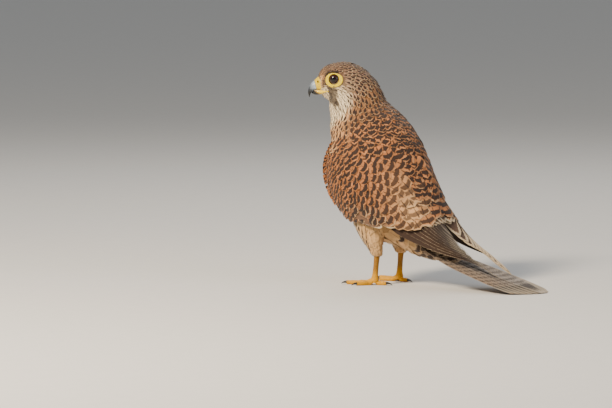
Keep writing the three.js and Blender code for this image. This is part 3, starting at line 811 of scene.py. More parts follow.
@dataclass(frozen=True)
class HornFinish:
    """Horn that runs from its colour at the root to its colour at the tip."""

    name: str
    root: str
    middle: str
    tip: str
    stops: tuple[float, float, float] = (0.1, 0.5, 0.8)

    def build(self) -> bpy.types.Material:
        """Makes the material.

        Returns:
            A polished material with fine growth lines.
        """
        web = Web(self.name)
        along, _, _ = web.parts(web.read("vane"))
        clouds = web.noise(350.0, 4.0) - 0.5
        share = along + clouds * 0.22
        colours = (tone(self.root), tone(self.middle), tone(self.tip))
        settings = {"stops": list(zip(self.stops, colours))}
        colour = web.add("ShaderNodeValToRGB", settings, {0: share})
        grain = web.noise(2200.0, 3.0)
        colour = web.shade(colour, 0.85 + grain * 0.3)
        inputs = {"Base Color": colour, "Roughness": 0.26 + grain * 0.14, "Coat Weight": 0.25}
        return web.finish(inputs, grain, 0.00004, 0.4)


@dataclass(frozen=True)
class EyeFinish:
    """Dark brown iris round a black pupil, under a wet cornea."""

    name: str = "eye"

    def build(self) -> bpy.types.Material:
        """Makes the material.

        Returns:
            A glossy material that reads the distance from the middle of the iris.
        """
        web = Web(self.name)
        out, turn, _ = web.parts(web.read("vane"))
        rays = (turn * 90.0 + web.noise(900.0, 3.0) * 9.0).sine() * 0.5 + 0.5
        iris = web.mix(rays, tone("#1d0a05"), tone("#341208"))
        iris = web.mix(out.ease(0.74, 0.92), iris, tone("#0a0504"))
        colour = web.mix(out.ease(0.47, 0.40), iris, tone("#020202"))
        inputs = {"Base Color": colour, "Roughness": 0.12, "Specular IOR Level": 0.2}
        return web.finish({**inputs, "Coat Weight": 0.55, "Coat Roughness": 0.02})


@dataclass(frozen=True)
class PlainFinish:
    """Matt ground of the studio."""

    name: str
    colour: str
    roughness: float = 0.9

    def build(self) -> bpy.types.Material:
        """Makes the material, with a faint speckle."""
        web = Web(self.name)
        speckle = web.noise(60.0, 3.0)
        dim, bright = (tuple(np.array(tone(self.colour)) * level) for level in (0.97, 1.03))
        colour = web.mix(speckle, dim, bright)
        return web.finish({"Base Color": colour, "Roughness": self.roughness})


# Feathers


@dataclass
class Vanes:
    """Joined feathers: corners, faces, and what each corner carries."""

    points: Array
    quads: Array
    vane: Array
    ground: Array
    marks: Array
    patch: Array

    @staticmethod
    def join(parts: Sequence["Vanes"]) -> "Vanes":
        """Several batches as one."""
        starts = np.cumsum([0] + [len(part.points) for part in parts])
        quads = np.vstack([part.quads + start for part, start in zip(parts, starts)])
        stack = {key: np.vstack([getattr(part, key) for part in parts])
                 for key in ("points", "vane", "ground", "marks", "patch")}
        return Vanes(quads=quads, **stack)

    def build(self, name: str, material: bpy.types.Material) -> bpy.types.Object:
        """Makes the piece, with its stored values and a map that gives each feather a patch of its own.

        Args:
            name: Name of the piece.
            material: Its finish.

        Returns:
            The object.
        """
        piece = MODEL.mesh(name, self.points, self.quads)
        paint(piece, "vane", self.vane)
        paint(piece, "ground", np.column_stack([self.ground, np.ones(len(self.ground))]))
        paint(piece, "marks", self.marks)
        layer = piece.data.uv_layers.new(name="OFBake")
        each = np.clip(self.patch, 0, 1)[self.quads.ravel()]
        layer.data.foreach_set("uv", each.astype(np.float32).ravel())
        piece.data.materials.append(material)
        return piece


@dataclass
class Lie:
    """How a batch of feathers lies: stations along each shaft with their directions."""

    at: Array
    across: Array
    out: Array
    half: Array
    sag: Array
    u: Array
    mirrored: bool = False


@dataclass
class Marking:
    """What each feather of a batch looks like."""

    ground: Array
    marks: Array
    seed: Array
    spot: Array
    patch: tuple[float, float] = (0.003, 0.003)


def weave(lie: Lie, marking: Marking, columns: Sequence[float], rng: np.random.Generator,
          camber: float = 0.12, thick: float = 0.2, ragged: float = 0.04, shaft: float = 0.0,
          move: Callable[[Array], Array] | None = None) -> Vanes:
    """Makes closed, thin feathers from how they lie.

    Args:
        lie: Stations and directions.
        marking: Colours and marks of each feather.
        columns: Places across the vane, from -1 to 1.
        rng: Source of the ragged ends.
        camber: Rise of the middle, as a share of the half width.
        thick: Thickness at the middle in millimetres.
        ragged: Unevenness of the end, as a share of the length.
        shaft: Height of the shaft's ridge in millimetres.
        move: Placing of the finished points in the standing bird.

    Returns:
        The joined feathers.
    """
    count, rows = lie.at.shape[:2]
    v = np.asarray(columns, float)
    wide = len(v)
    half = lie.half[..., None, None]
    rise = camber * half * (1 - v[:, None] ** 2) - lie.sag[..., None, None] * v[:, None] ** 2
    rise = rise + shaft * (np.abs(v[:, None]) < 0.02) * np.clip(1.2 - lie.u, 0, 1)[None, :, None, None]
    at, across, out = (a[:, :, None, :] for a in (lie.at, lie.across, lie.out))
    top = at + across * v[:, None] * half + out * rise
    length = np.linalg.norm(lie.at[:, -1] - lie.at[:, 0], axis=-1)
    along = unit(np.gradient(lie.at, axis=1))[:, :, None, :]
    uneven = rng.normal(0, ragged, (count, 1, wide)) * length[:, None, None]
    top = top + along * (uneven * lie.u[None, :, None] ** 5)[..., None]
    middle = top[:, :, wide // 2 : wide // 2 + 1] - out * thick
    low = np.concatenate([top[:, :, :1], middle, top[:, :, -1:]], axis=2)
    grid = np.concatenate([top, low], axis=2)
    points = grid.reshape(-1, 3)
    if move is not None:
        points = move(points)
    total = wide + 3
    i, j = np.meshgrid(np.arange(rows - 1), np.arange(wide - 1), indexing="ij")
    corner = (i * total + j).ravel()
    upper = np.stack([corner, corner + 1, corner + total + 1, corner + total], axis=1)
    i, j = np.meshgrid(np.arange(rows - 1), np.arange(2), indexing="ij")
    corner = (i * total + wide + j).ravel()
    lower = np.stack([corner, corner + total, corner + total + 1, corner + 1], axis=1)
    template = np.vstack([upper, lower])
    if lie.mirrored:
        template = template[:, ::-1]
    quads = (template[None] + (np.arange(count) * rows * total)[:, None, None]).reshape(-1, 4)
    side = np.concatenate([v, [-1, 0, 1]])
    u_grid, v_grid = np.meshgrid(lie.u, side, indexing="ij")
    each = rows * total
    own = np.column_stack([u_grid.ravel(), v_grid.ravel()])
    vane = np.column_stack([np.tile(own, (count, 1)), np.repeat(marking.seed, each)])
    offsets = np.column_stack([own[:, 1] * 0.5 * marking.patch[0], (own[:, 0] - 0.5) * marking.patch[1]])
    patch = np.repeat(marking.spot, each, axis=0) + np.tile(offsets, (count, 1))
    return Vanes(points, quads, vane, np.repeat(marking.ground, each, axis=0),
                 np.repeat(marking.marks, each, axis=0), patch)


def feather_half(u: Array, width: Array, point: Array | float, base: float = 0.3) -> Array:
    """Half width along feathers.

    Args:
        u: Stations along the feather.
        width: Full widths, one per feather.
        point: Fullness of the tip: a low number is pointed.
        base: Where the vane reaches its full width.

    Returns:
        Half widths as feathers by stations.
    """
    stem = smooth(u, -0.08, base)
    tip = np.sqrt(1 - np.clip((u - 0.45) / 0.55, 0, 1) ** np.asarray(point)[..., None])
    return np.asarray(width)[..., None] / 2 * np.maximum(stem * tip, 0.05)


@dataclass
class Roots:
    """Roots of small feathers, with the way they lie and their size and looks."""

    at: Array
    heading: Array
    length: Array
    width: Array
    lift: Array
    ground: Array
    marks: Array
    spot: Array

    @staticmethod
    def join(coats: Sequence["Roots"]) -> "Roots":
        """The roots of several coats as one."""
        keys = vars(coats[0])
        return Roots(**{key: np.concatenate([getattr(coat, key) for coat in coats]) for key in keys})

    def chosen(self, mask: Array) -> "Roots":
        """Only some of the roots."""
        return Roots(**{key: value[mask] for key, value in vars(self).items()})


class Surface:
    """Something that feathers lie on."""

    def __init__(self, corners: Array, faces: Sequence) -> None:
        """Keeps a surface ready for finding places on it."""
        self.tree = BVHTree.FromPolygons(corners.tolist(), [tuple(face) for face in faces])

    def nearest(self, places: Array) -> tuple[Array, Array]:
        """Nearest places on the surface.

        Args:
            places: Points near it.

        Returns:
            The places on it and the outward directions there.
        """
        flat = places.reshape(-1, 3)
        spots, outward = np.empty_like(flat), np.empty_like(flat)
        for i, place in enumerate(flat.tolist()):
            spot, normal, _, _ = self.tree.find_nearest(place)
            spots[i], outward[i] = spot, normal
        return spots.reshape(places.shape), outward.reshape(places.shape)


def wing_sheets() -> tuple[Array, list[list[int]]]:
    """Both wings' covers, from the wrist to beyond the long coverts, meeting over the rump.

    Returns:
        Points and faces.
    """
    s, t = np.meshgrid(np.linspace(-0.15, 7.8, 90), np.linspace(0, 1, 30), indexing="ij")
    depth = 2.6 - 1.3 * smooth(s, 2.0, 4.0)
    rows, columns = s.shape
    i, j = np.meshgrid(np.arange(rows - 1), np.arange(columns - 1), indexing="ij")
    corner = (i * columns + j).ravel()
    quads = np.stack([corner, corner + columns, corner + columns + 1, corner + 1], axis=1)
    points, faces = [], []
    for side in Side:
        turned = quads if side is Side.LEFT else quads[:, ::-1]
        faces += (turned + len(points) * s.size).tolist()
        points.append(on_side(in_wing(s, t, depth), side).reshape(-1, 3))
    return np.vstack(points), faces


@dataclass
class Skin:
    """One skin over head, neck, trunk, thighs and the fleshy part of each wing."""

    depth: float = 2.2
    face_depth: float = 1.1
    voxel: float = 1.25
    piece: bpy.types.Object | None = None
    corners: Array | None = None
    faces: list[list[int]] | None = None
    bare: Surface | None = None
    sheets: Surface | None = None
    cover: Surface | None = None

    def _trunk(self) -> tuple[Array, list[list[int]]]:
        """Head, neck and trunk with the tail's root, inside the solids by the coat's depth.

        Returns:
            Points and faces.
        """
        sides = 64
        angle = np.linspace(0, 2 * math.pi, sides, endpoint=False)
        place = np.linspace(0, VENT, 90)
        depth = self.face_depth + (self.depth - self.face_depth) * smooth(place, 2.5, 7.5)
        body = spine_point(place[:, None] + 0 * angle, 0 * place[:, None] + angle, -depth[:, None])
        row = between(TAIL_ROOT, np.linspace(0.25, 4.4, 26))[:, None, :]
        c, s = superround(np.cos(angle), 2.1), superround(np.sin(angle), 2.1)
        reach = np.where(c > 0, row[..., 3], row[..., 4])
        shrink = self.depth * smooth(reach, 3.0, 12.0)
        above = row[..., 1] + c * (reach - shrink)
        root = lay(in_tail(VENT_ALONG + row[..., 0], above, s * (row[..., 2] - shrink)))
        return loft(np.vstack([body[:-2], root]))

    def _wing(self, side: Side) -> tuple[Array, list[list[int]]]:
        """Fleshy part of one wing.

        Args:
            side: Which wing.

        Returns:
            Points and faces.
        """
        rows, columns = 40, 28
        t = np.linspace(0.03, 0.97, columns)
        share = np.linspace(0, 1, rows)[:, None]
        s = (2.5 + (3.5 - 2.5) * t) * share
        round_s = np.minimum(1, np.sin(math.pi * (share * 0.93 + 0.035)) * 1.7)
        round_off = (np.sin(math.pi * t) * round_s) ** 0.45
        thick = (13 + (6.5 - 13) * smooth(s, 2.2, 4)) * round_off + 1.0
        outer = in_wing(s, t + 0 * s, 2.6 + (1 - round_off) * 1.5)
        inner = in_wing(s, t + 0 * s, 2.6 + thick)
        return loft(on_side(np.concatenate([outer, inner[:, ::-1]], axis=1), side))

    def _thigh(self, side: Side) -> tuple[Array, list[list[int]]]:
        """One feathered thigh.

        Args:
            side: Which leg.

        Returns:
            Points and faces.
        """
        row = between(THIGH, np.linspace(0, 5, 24))[:, None, :]
        angle = np.linspace(0, 2 * math.pi, 32, endpoint=False)
        inset = 1.6 * smooth(row[..., 3], 4.0, 7.0)
        x = side.value * row[..., 0] + (row[..., 3] - inset) * np.cos(angle)
        y = row[..., 1] + (row[..., 4] - inset) * np.sin(angle)
        return loft(np.stack([x, y, row[..., 2] + 0 * angle], axis=-1))

    def build(self) -> None:
        """Makes the skin as one closed surface and keeps it ready for finding places on it."""
        shapes = [self._trunk()]
        for side in Side:
            shapes += [self._wing(side), self._thigh(side)]
        rough = MODEL.mesh("skin_rough", *join_shapes(shapes))
        data = one_surface(rough, self.voxel, 5)
        bpy.data.objects.remove(rough)
        data.name = "skin"
        self.piece = bpy.data.objects.new("skin", data)
        bpy.context.scene.collection.objects.link(self.piece)
        corners = np.empty(len(data.vertices) * 3)
        data.vertices.foreach_get("co", corners)
        self.corners = corners.reshape(-1, 3) / MM - MODEL.shift
        faces = [list(p.vertices) for p in data.polygons]
        self.faces = faces
        sheet_points, sheet_faces = wing_sheets()
        self.bare = Surface(self.corners, faces)
        self.sheets = Surface(sheet_points, sheet_faces)
        joined = [[corner + len(self.corners) for corner in face] for face in sheet_faces]
        self.cover = Surface(np.vstack([self.corners, sheet_points]), faces + joined)

    def dress(self, coats: Sequence[Roots]) -> None:
        """Gives the skin the ground colours of the feathers that grow on it.

        Args:
            coats: Roots of all coats.
        """
        grown = Roots.join(coats)
        finder = finder_of(grown.at)
        near = [finder.find(corner)[1] for corner in self.corners.tolist()]
        paint(self.piece, "ground", np.column_stack([grown.ground[near], np.ones(len(near))]))
        self.piece.data.materials.append(UnderFinish().build())
        nodes = ["head", "neck", "torso", "thigh_left", "thigh_right"]
        keep(self.piece, "body_plumage", *nodes)


def scatter(rng: np.random.Generator, candidates: Array, spacing: Array) -> Array:
    """Picks candidates so that none lie nearer than their spacing.

    Args:
        rng: Source of the order.
        candidates: Points.
        spacing: Least distance at each point.

    Returns:
        Numbers of the points that are kept.
    """
    cell = float(spacing.max())
    keys = np.floor(candidates / cell).astype(int)
    taken: dict[tuple[int, int, int], list[int]] = {}
    kept: list[int] = []
    steps = [(a, b, c) for a in (-1, 0, 1) for b in (-1, 0, 1) for c in (-1, 0, 1)]
    for i in rng.permutation(len(candidates)).tolist():
        x, y, z = keys[i].tolist()
        near = [k for a, b, c in steps for k in taken.get((x + a, y + b, z + c), ())]
        if near:
            gap = np.min(np.sum((candidates[near] - candidates[i]) ** 2, axis=1))
            if gap < spacing[i] ** 2:
                continue
        taken.setdefault((x, y, z), []).append(i)
        kept.append(i)
    return np.array(kept)


# Ground colours of the plumage
CROWN = tone("#7d604b")
NAPE = tone("#94663f")
RUFOUS = tone("#aa6c3e")
TAWNY = tone("#c08c5a")
BUFF = tone("#cda372")
CREAM = tone("#e6d2ae")
BELLY = tone("#c39a68")
SOOT = tone("#2c1e17")
RUMP = tone("#8d7862")
EAR = tone("#8f765c")


def blend(base: Array, colour: tuple[float, float, float], share: Array) -> Array:
    """Ground colours moved towards one colour."""
    share = np.clip(share, 0, 1)[:, None]
    return base * (1 - share) + np.array(colour) * share


def bump(value: Array, middle: float, reach: float) -> Array:
    """One at the middle, falling to zero at the reach."""
    return 1 - smooth(np.abs(value - middle), 0, reach)


@dataclass
class BodyCoat:
    """Small feathers of head, neck, trunk and thighs."""

    skin: Skin
    rng: np.random.Generator

    def _sizes(self, place: Array, angle: Array) -> Array:
        """Length of the feathers by section and angle."""
        back = np.interp(place, [0, 1, 3, 5, 7, 9, 11, 13, 14], [2.8, 4.2, 7.5, 9.5, 11, 15, 18, 20, 20])
        front = np.interp(place, [0, 1, 3, 5, 7, 9, 11, 13, 14], [2.6, 3.8, 7.0, 10, 12, 14, 15, 16, 17])
        share = (1 + np.cos(angle)) / 2
        return back * share + front * (1 - share)

    def _looks(self, at: Array, place: Array, angle: Array, length: Array) -> tuple[Array, Array]:
        """Ground colour and marks of each feather.

        Args:
            at: Root.
            place: Section along the spine.
            angle: Angle round it.
            length: Feather length.

        Returns:
            Ground colours, and streak, bars, edge and length for each.
        """
        dorsal = smooth(np.cos(angle), -0.55, 0.15)
        base = np.tile(np.array(CROWN), (len(at), 1))
        base = blend(base, NAPE, smooth(place, 4.5, 6.5))
        base = blend(base, RUFOUS, smooth(place, 6.3, 8.2))
        base = blend(base, RUMP, smooth(place, 11.8, 13.2) * dorsal)
        front = blend(np.tile(np.array(CREAM), (len(at), 1)), TAWNY, smooth(place, 5.6, 7.0))
        front = blend(front, BUFF, smooth(place, 8.0, 10.0))
        front = blend(front, BELLY, smooth(place, 11, 13))
        ground = base * dorsal[:, None] + front * (1 - dorsal[:, None])
        streak = np.interp(place, [0, 2, 4, 6, 7.2, 8.5, 14], [0.40, 0.55, 0.60, 0.58, 0.5, 0.25, 0.12])
        below = np.interp(place, [0, 2, 3.5, 5, 6.5, 8, 10, 12, 13],
                          [0.08, 0.14, 0.24, 0.34, 0.46, 0.48, 0.38, 0.18, 0.05])
        streak = streak * dorsal + (1 - dorsal) * below
        bars = smooth(place, 5.8, 7.6) * dorsal
        edge = 0.52 - 0.38 * dorsal * smooth(place, 5, 8)
        face = self._face(at, place)
        ground = blend(ground, TAWNY, face["lores"] * 0.8)
        ground = blend(ground, CREAM, face["cheek"] * 0.9)
        ground = blend(ground, EAR, face["ear"] * 0.75)
        mottle = self.rng.uniform(0.75, 1.0, len(at))
        # Soot for the stripe and the lore line as markings, and for the painted shadow along the brow over
        # the eye.
        dark = np.maximum(face["stripe"] * mottle, np.maximum(face["brow"], face["lore_line"]))
        ground = blend(ground, SOOT, dark)
        calm = np.maximum(face["cheek"] * 0.5, face["brow"])
        streak = streak * (1 - calm) + 0.14 * calm
        edge = edge * (1 - np.maximum(face["brow"], face["stripe"] * 0.8))
        marks = np.column_stack([streak, bars, edge, length / 100])
        return ground, marks

    def _face(self, at: Array, place: Array) -> dict[str, Array]:
        """Strength of each marking of the face, and of the shadow painted along the brow over each eye.

        Args:
            at: Shown middle of each feather.
            place: Its section along the spine.

        Returns:
            A share from 0 to 1 for each feather, by the name of the marking or of the painted shadow.
        """
        forward, across, up = to_head(at).T
        side = np.abs(across)
        face = smooth(place, 6.2, 5.0)
        round_eye = np.hypot(forward - 0.5, up)
        centre = np.interp(-up, [6, 12, 20, 30], [2.4, 1.8, 0.6, -4.5])
        low = smooth(up, -33, -24) * smooth(up, -5.0, -7.0)
        above_eye = smooth(up + 0.25 * forward, 0.5, 3.0)
        before_eye = smooth(up, -8, -5) * smooth(up, 2, 0)
        return {
            "lores": bump(forward, 13, 5) * smooth(up, -7, -3) * smooth(side, 2.5, 6) * face,
            "cheek": bump(forward, -8, 11) * bump(up, -20, 16) * smooth(side, 4, 9) * face,
            "ear": bump(forward, -16, 10) * bump(up, -6, 10) * smooth(side, 6, 10) * face,
            "stripe": smooth(np.abs(forward - centre), 5.2, 3.2) * low * smooth(side, 3, 6) * face,
            # Painted shadow: a dark line along the brow over the eye.
            "brow": smooth(round_eye, 9.6, 8.4) * above_eye * smooth(side, 8, 10) * face,
            "lore_line": bump(forward, 9.6, 2.0) * before_eye * smooth(side, 4, 7) * face,
        }

    def _roots(self, first: float, last: float, spacing: float, dense: int, half_turn: float = math.pi,
               above: Surface | None = None) -> tuple[Roots, Array]:
        """Scatters roots between two sections.

        Args:
            first: First section.
            last: Last section.
            spacing: Distance between roots, as a share of the feathers' length.
            dense: How many candidates to draw from.
            half_turn: How far round from the middle of the back they reach.
            above: Surface they stand on, where that isn't the bare skin.

        Returns:
            The roots, and their distance from the skin before they were put on it.
        """
        place = self.rng.uniform(first, last, dense)
        angle = self.rng.uniform(-half_turn, half_turn, dense)
        rough = spine_point(place, angle, 4.0 if above else -self.skin.depth)
        length = self._sizes(place, angle)
        kept = scatter(self.rng, self._unrolled(place, angle, rough), length * spacing)
        place, angle, rough, length = place[kept], angle[kept], rough[kept], length[kept]
        at, _ = (above or self.skin.bare).nearest(rough)
        gap = np.linalg.norm(at - rough, axis=1)
        heading = unit(spine_point(place + 0.05, angle, -2.0) - spine_point(place - 0.05, angle, -2.0))
        length = length * self.rng.uniform(0.9, 1.1, len(length))
        shown = at + heading * (length * 0.7)[:, None]
        ground, marks = self._looks(shown, place, angle, length)
        spot = np.column_stack([angle / (2 * math.pi), (place - first) / (last - first)]) * 0.98 + 0.01
        lift = np.interp(place, [0, 2, 5, 9], [0.5, 0.8, 1.3, 1.9])
        width = length * np.interp(place, [0, 3, 6, 8], [0.5, 0.44, 0.55, 0.74])
        return Roots(at, heading, length, width, lift, ground, marks, spot), gap

    def _unrolled(self, place: Array, angle: Array, rough: Array) -> Array:
        """Places on a straight tube, shortened along it, so that feathers show longer than wide.

        Args:
            place: Section along the spine.
            angle: Angle round it.
            rough: Place in the bird.

        Returns:
            Points to scatter over.
        """
        stations = np.linspace(0, VENT, 200)
        ridge = (spine_point(stations, 0 * stations) + spine_point(stations, 0 * stations + math.pi)) / 2
        run = np.concatenate([[0.0], np.cumsum(np.linalg.norm(np.diff(ridge, axis=0), axis=1))])
        middle = np.column_stack([np.interp(place, stations, column) for column in ridge.T])
        reach = np.linalg.norm(rough - middle, axis=1)
        shrink = np.interp(place, [0, 2, 6, 9], [0.85, 0.50, 0.62, 0.95])
        along = np.interp(place, stations, run) * shrink
        return np.column_stack([reach * np.cos(angle), reach * np.sin(angle), along])

    def mantle(self) -> Roots:
        """Feathers down the middle of the back, over the line where the two wings meet."""
        return self._roots(7.8, 12.2, 0.36, 5000, 0.55, self.skin.cover)[0]

    def head(self) -> Roots:
        """Feathers of the head, kept clear of the eyes and the bill."""
        roots, _ = self._roots(0.0, 5.5, 0.25, 30000)
        return roots.chosen(self._clear_of_lids(roots))

    def _clear_of_lids(self, roots: Roots) -> Array:
        """Which feathers leave the bare skin round both eyes open.

        Args:
            roots: The feathers.

        Returns:
            True for each that stays.
        """
        mask = np.ones(len(roots.at), bool)
        for side in Side:
            off = roots.at - eye_centre(side)
            look = eye_look(side)
            outward = off @ look
            for share in (0.0, 0.6, 1.0):
                reach = off + roots.heading * (roots.length * share)[:, None]
                flat = reach - (reach @ look)[:, None] * look
                turn = np.arctan2(flat[:, 2], flat @ HEAD_FORWARD)
                mask &= (np.linalg.norm(flat, axis=1) > lid_reach(turn) - 0.9 * share) | (outward < 0)
        return mask

    def lores(self) -> Roots:
        """Short bristly feathers between eye and bill that lie forward over the cere.

        Returns:
            Their roots.
        """
        dense = 4000
        forward = self.rng.uniform(8.0, 15.0, dense)
        up = self.rng.uniform(-8.5, 5.5, dense)
        side = self.rng.choice([-1.0, 1.0], dense)
        rough = in_head(forward, side * 12.0, up)
        at, _ = self.skin.bare.nearest(rough)
        kept = scatter(self.rng, at, np.full(dense, 0.85))
        at, side = at[kept], side[kept]
        ahead, across, up = to_head(at).T
        kept_here = (np.sign(across) == side) & (ahead > 8.4) & (np.abs(across) > 3.5) & (up > -8)
        heading = unit(HEAD_FORWARD - np.array([0, 0, 0.35]) - HEAD_ACROSS * side[:, None] * 0.35)
        length = self.rng.uniform(3.0, 4.4, len(at))
        ground = blend(np.tile(np.array(TAWNY), (len(at), 1)), CREAM, smooth(ahead, 10.0, 12.0) * 0.8)
        ground = blend(ground, SOOT, smooth(np.abs(ahead - 8.6), 2.0, 0.8) * smooth(up, 1.5, 0.0) * 0.9)
        marks = np.column_stack([0.12 + 0 * ahead, 0 * ahead, 0.3 + 0 * ahead, length / 100])
        spot = np.column_stack([0.5 + across / 60, 0.5 + up / 60])
        lift = np.full(len(at), 0.5)
        return Roots(at, heading, length, length * 0.3, lift, ground, marks, spot).chosen(kept_here)

    def fill(self, coats: Sequence[Roots]) -> Roots:
        """Roots wherever the skin would be left bare, like their nearest neighbours.

        Args:
            coats: Roots so far.

        Returns:
            More roots.
        """
        joined = Roots.join(coats)
        finder = finder_of(joined.at)
        corners = self.skin.corners
        found = [finder.find(corner) for corner in corners.tolist()]
        near = np.array([hit[1] for hit in found])
        gap = np.array([hit[2] for hit in found])
        spots, outward = self.skin.sheets.nearest(corners)
        height = dot(corners - spots, outward)[:, 0]
        covered = (height < -1.6) & (np.linalg.norm(corners - spots, axis=1) < 14)
        forward = to_head(corners)[:, 0]
        open_place = (gap > joined.length[near] * 0.42) & ~covered & (forward < 5) & (corners[:, 2] > 30.5)
        places, near = corners[open_place], near[open_place]
        kept = scatter(self.rng, places, joined.length[near] * 0.38)
        more = joined.chosen(near[kept])
        more.at = places[kept]
        return more.chosen(self._clear_of_lids(more))

    def neck(self) -> Roots:
        """Feathers of the neck."""
        return self._roots(5.4, 8.4, 0.36, 12000)[0]

    def trunk(self) -> Roots:
        """Feathers of the trunk where it isn't under a wing."""
        roots, gap = self._roots(8.3, VENT, 0.38, 12000)
        spots, outward = self.skin.sheets.nearest(roots.at)
        height = dot(roots.at - spots, outward)[:, 0]
        covered = (height < -0.8) & (np.linalg.norm(roots.at - spots, axis=1) < 16)
        return roots.chosen((gap < 2.5) & ~covered)

    def thighs(self, side: Side) -> Roots:
        """Feathers of one thigh.

        Args:
            side: Which leg.

        Returns:
            Their roots.
        """
        dense = 3000
        place = self.rng.uniform(0.05, 4.2, dense)
        angle = self.rng.uniform(0, 2 * math.pi, dense)
        row = between(THIGH, place)
        x = side.value * row[:, 0] + (row[:, 3] - 1.2) * np.cos(angle)
        y = row[:, 1] + (row[:, 4] - 1.2) * np.sin(angle)
        rough = np.column_stack([x, y, row[:, 2]])
        length = np.interp(place, [0, 1, 4], [6, 9, 14])
        kept = scatter(self.rng, rough, length * 0.34)
        at, _ = self.skin.bare.nearest(rough[kept])
        gap = np.linalg.norm(at - rough[kept], axis=1)
        heading = np.tile(unit(np.array([0, 0.12, -1.0])), (len(kept), 1))
        length = length[kept]
        ground = blend(np.tile(np.array(BELLY), (len(kept), 1)), CREAM, bump(angle[kept], 5.2, 1.2) * 0.5)
        streak = 0.5 * smooth(np.sin(-angle[kept]), -0.4, 0.6) * self.rng.uniform(0.4, 1.0, len(kept)) + 0.1
        marks = np.column_stack([streak, 0 * streak, 0.3 + 0 * streak, length / 100])
        spot = np.column_stack([angle[kept] / (2 * math.pi), place[kept] / 5]) * 0.98 + 0.01
        lift = np.full(len(kept), 1.3)
        return Roots(at, heading, length, length * 0.6, lift, ground, marks, spot).chosen(gap < 3)


@dataclass
class Groom:
    """Grows small feathers over the skin from their roots."""

    surface: Surface
    rng: np.random.Generator
    rows: int = 8
    columns: tuple[float, ...] = (-1, -0.62, -0.25, 0, 0.25, 0.62, 1)

    def grow(self, roots: Roots) -> Vanes:
        """Lays each feather along the skin.

        Args:
            roots: Where and how they grow.

        Returns:
            The joined feathers.
        """
        count = len(roots.at)
        u = np.linspace(0, 1, self.rows) ** 0.85
        steps = np.diff(u)
        spots, outward = self.surface.nearest(roots.at)
        heading = roots.heading
        at, out, way = [spots], [outward], []
        for step in steps:
            heading = unit(heading - outward * dot(heading, outward))
            way.append(heading)
            spots, outward = self.surface.nearest(spots + heading * (roots.length * step)[:, None])
            at.append(spots)
            out.append(unit(outward * 0.6 + out[-1] * 0.4))
        way.append(unit(heading - outward * dot(heading, outward)))
        at, out, way = (np.stack(parts, axis=1) for parts in (at, out, way))
        across = unit(np.cross(out, way))
        half = feather_half(u, roots.width, 2.6 + self.rng.uniform(-0.4, 0.6, count), 0.4)
        middle = self.rows // 2
        droop = np.zeros(count)
        for sign in (-1, 1):
            edge = at[:, middle] + across[:, middle] * (sign * half[:, middle])[:, None]
            below, _ = self.surface.nearest(edge)
            droop += np.maximum(-dot(below - at[:, middle], out[:, middle])[:, 0], 0) / 2
        sag = droop[:, None] * (half / np.maximum(half.max(axis=1, keepdims=True), 1e-6)) ** 2
        rise = -0.35 + (roots.lift + 0.35)[:, None] * u[None] ** 1.2
        rise = rise + self.rng.normal(0, 0.10, (count, 1)) * roots.lift[:, None]
        roll = self.rng.normal(0, 0.07, (count, 1, 1))
        across = unit(across + out * roll)
        at = at + out * rise[..., None]
        lie = Lie(at, across, out, half, sag, u)
        marking = Marking(roots.ground * self.rng.uniform(0.88, 1.1, (count, 1)), roots.marks,
                          self.rng.uniform(0, 1, count), roots.spot)
        return weave(lie, marking, self.columns, self.rng, camber=0.10, thick=0.12, ragged=0.035)


@dataclass
class Tier:
    """One row of large wing feathers, from the outermost to the innermost."""

    count: int
    rows: int
    camber: float
    stack: float
    place: Callable[[Array], dict[str, Array]]
    thick: float = 0.35

    def lie(self) -> tuple[Lie, dict[str, Array]]:
        """Stations and directions of the tier on the left wing, in the straight bird.

        Returns:
            How the feathers lie, and what place() said of them.
        """
        share = np.arange(self.count) / (self.count - 1)
        spec = self.place(share)
        u = np.linspace(0, 1, self.rows)

        def on(v: Array) -> tuple[Array, Array]:
            """Place on the wing at share v of each feather."""
            s = spec["root"][0][:, None] + (spec["tip"][0] - spec["root"][0])[:, None] * v
            t = spec["root"][1][:, None] + (spec["tip"][1] - spec["root"][1])[:, None] * v**0.9
            return s, t

        def route(v: Array) -> Array:
            """Place under the surface at share v of each feather."""
            shallow, deep = spec["depth"][1][:, None], spec["depth"][0][:, None]
            return in_wing(*on(v), deep + (shallow - deep) * v**1.3)

        at = route(u)
        along = unit(route(np.minimum(u + 0.03, 1)) - route(np.maximum(u - 0.03, 0)))
        flat = unit(np.cross(wing_out(*on(u)), along))
        normal = np.cross(along, flat)
        spacing = np.abs(np.sum((at[1:] - at[:-1]) * flat[:-1], axis=-1))
        sine = np.minimum(self.stack / spacing.mean(axis=0), 0.5)
        tilt = np.arcsin(sine)
        short = np.maximum(0, self.stack - spacing * sine) * smooth(u, 0, 0.5)
        sunk = np.vstack([np.cumsum(short[::-1], axis=0)[::-1], np.zeros((1, self.rows))])
        across = flat * np.cos(tilt)[None, :, None] - normal * sine[None, :, None]
        out = np.cross(along, across)
        at = at - normal * sunk[..., None]
        half = feather_half(u, spec["width"], spec["point"])
        return Lie(at, across, out, half, np.zeros_like(half), u), spec


def pair(a: Array, b: Array) -> tuple[Array, Array]:
    """Two rows of numbers of one length."""
    return np.broadcast_arrays(np.asarray(a, float), np.asarray(b, float))


# Edge of the barred cover over the dark flights: places on the wing from its lower edge to its upper
COVER_EDGE_T = (0.0, 0.09, 0.27, 0.42, 0.52, 0.76, 1.0)
COVER_EDGE_S = (2.6, 3.2, 4.5, 5.4, 6.0, 6.6, 7.0)


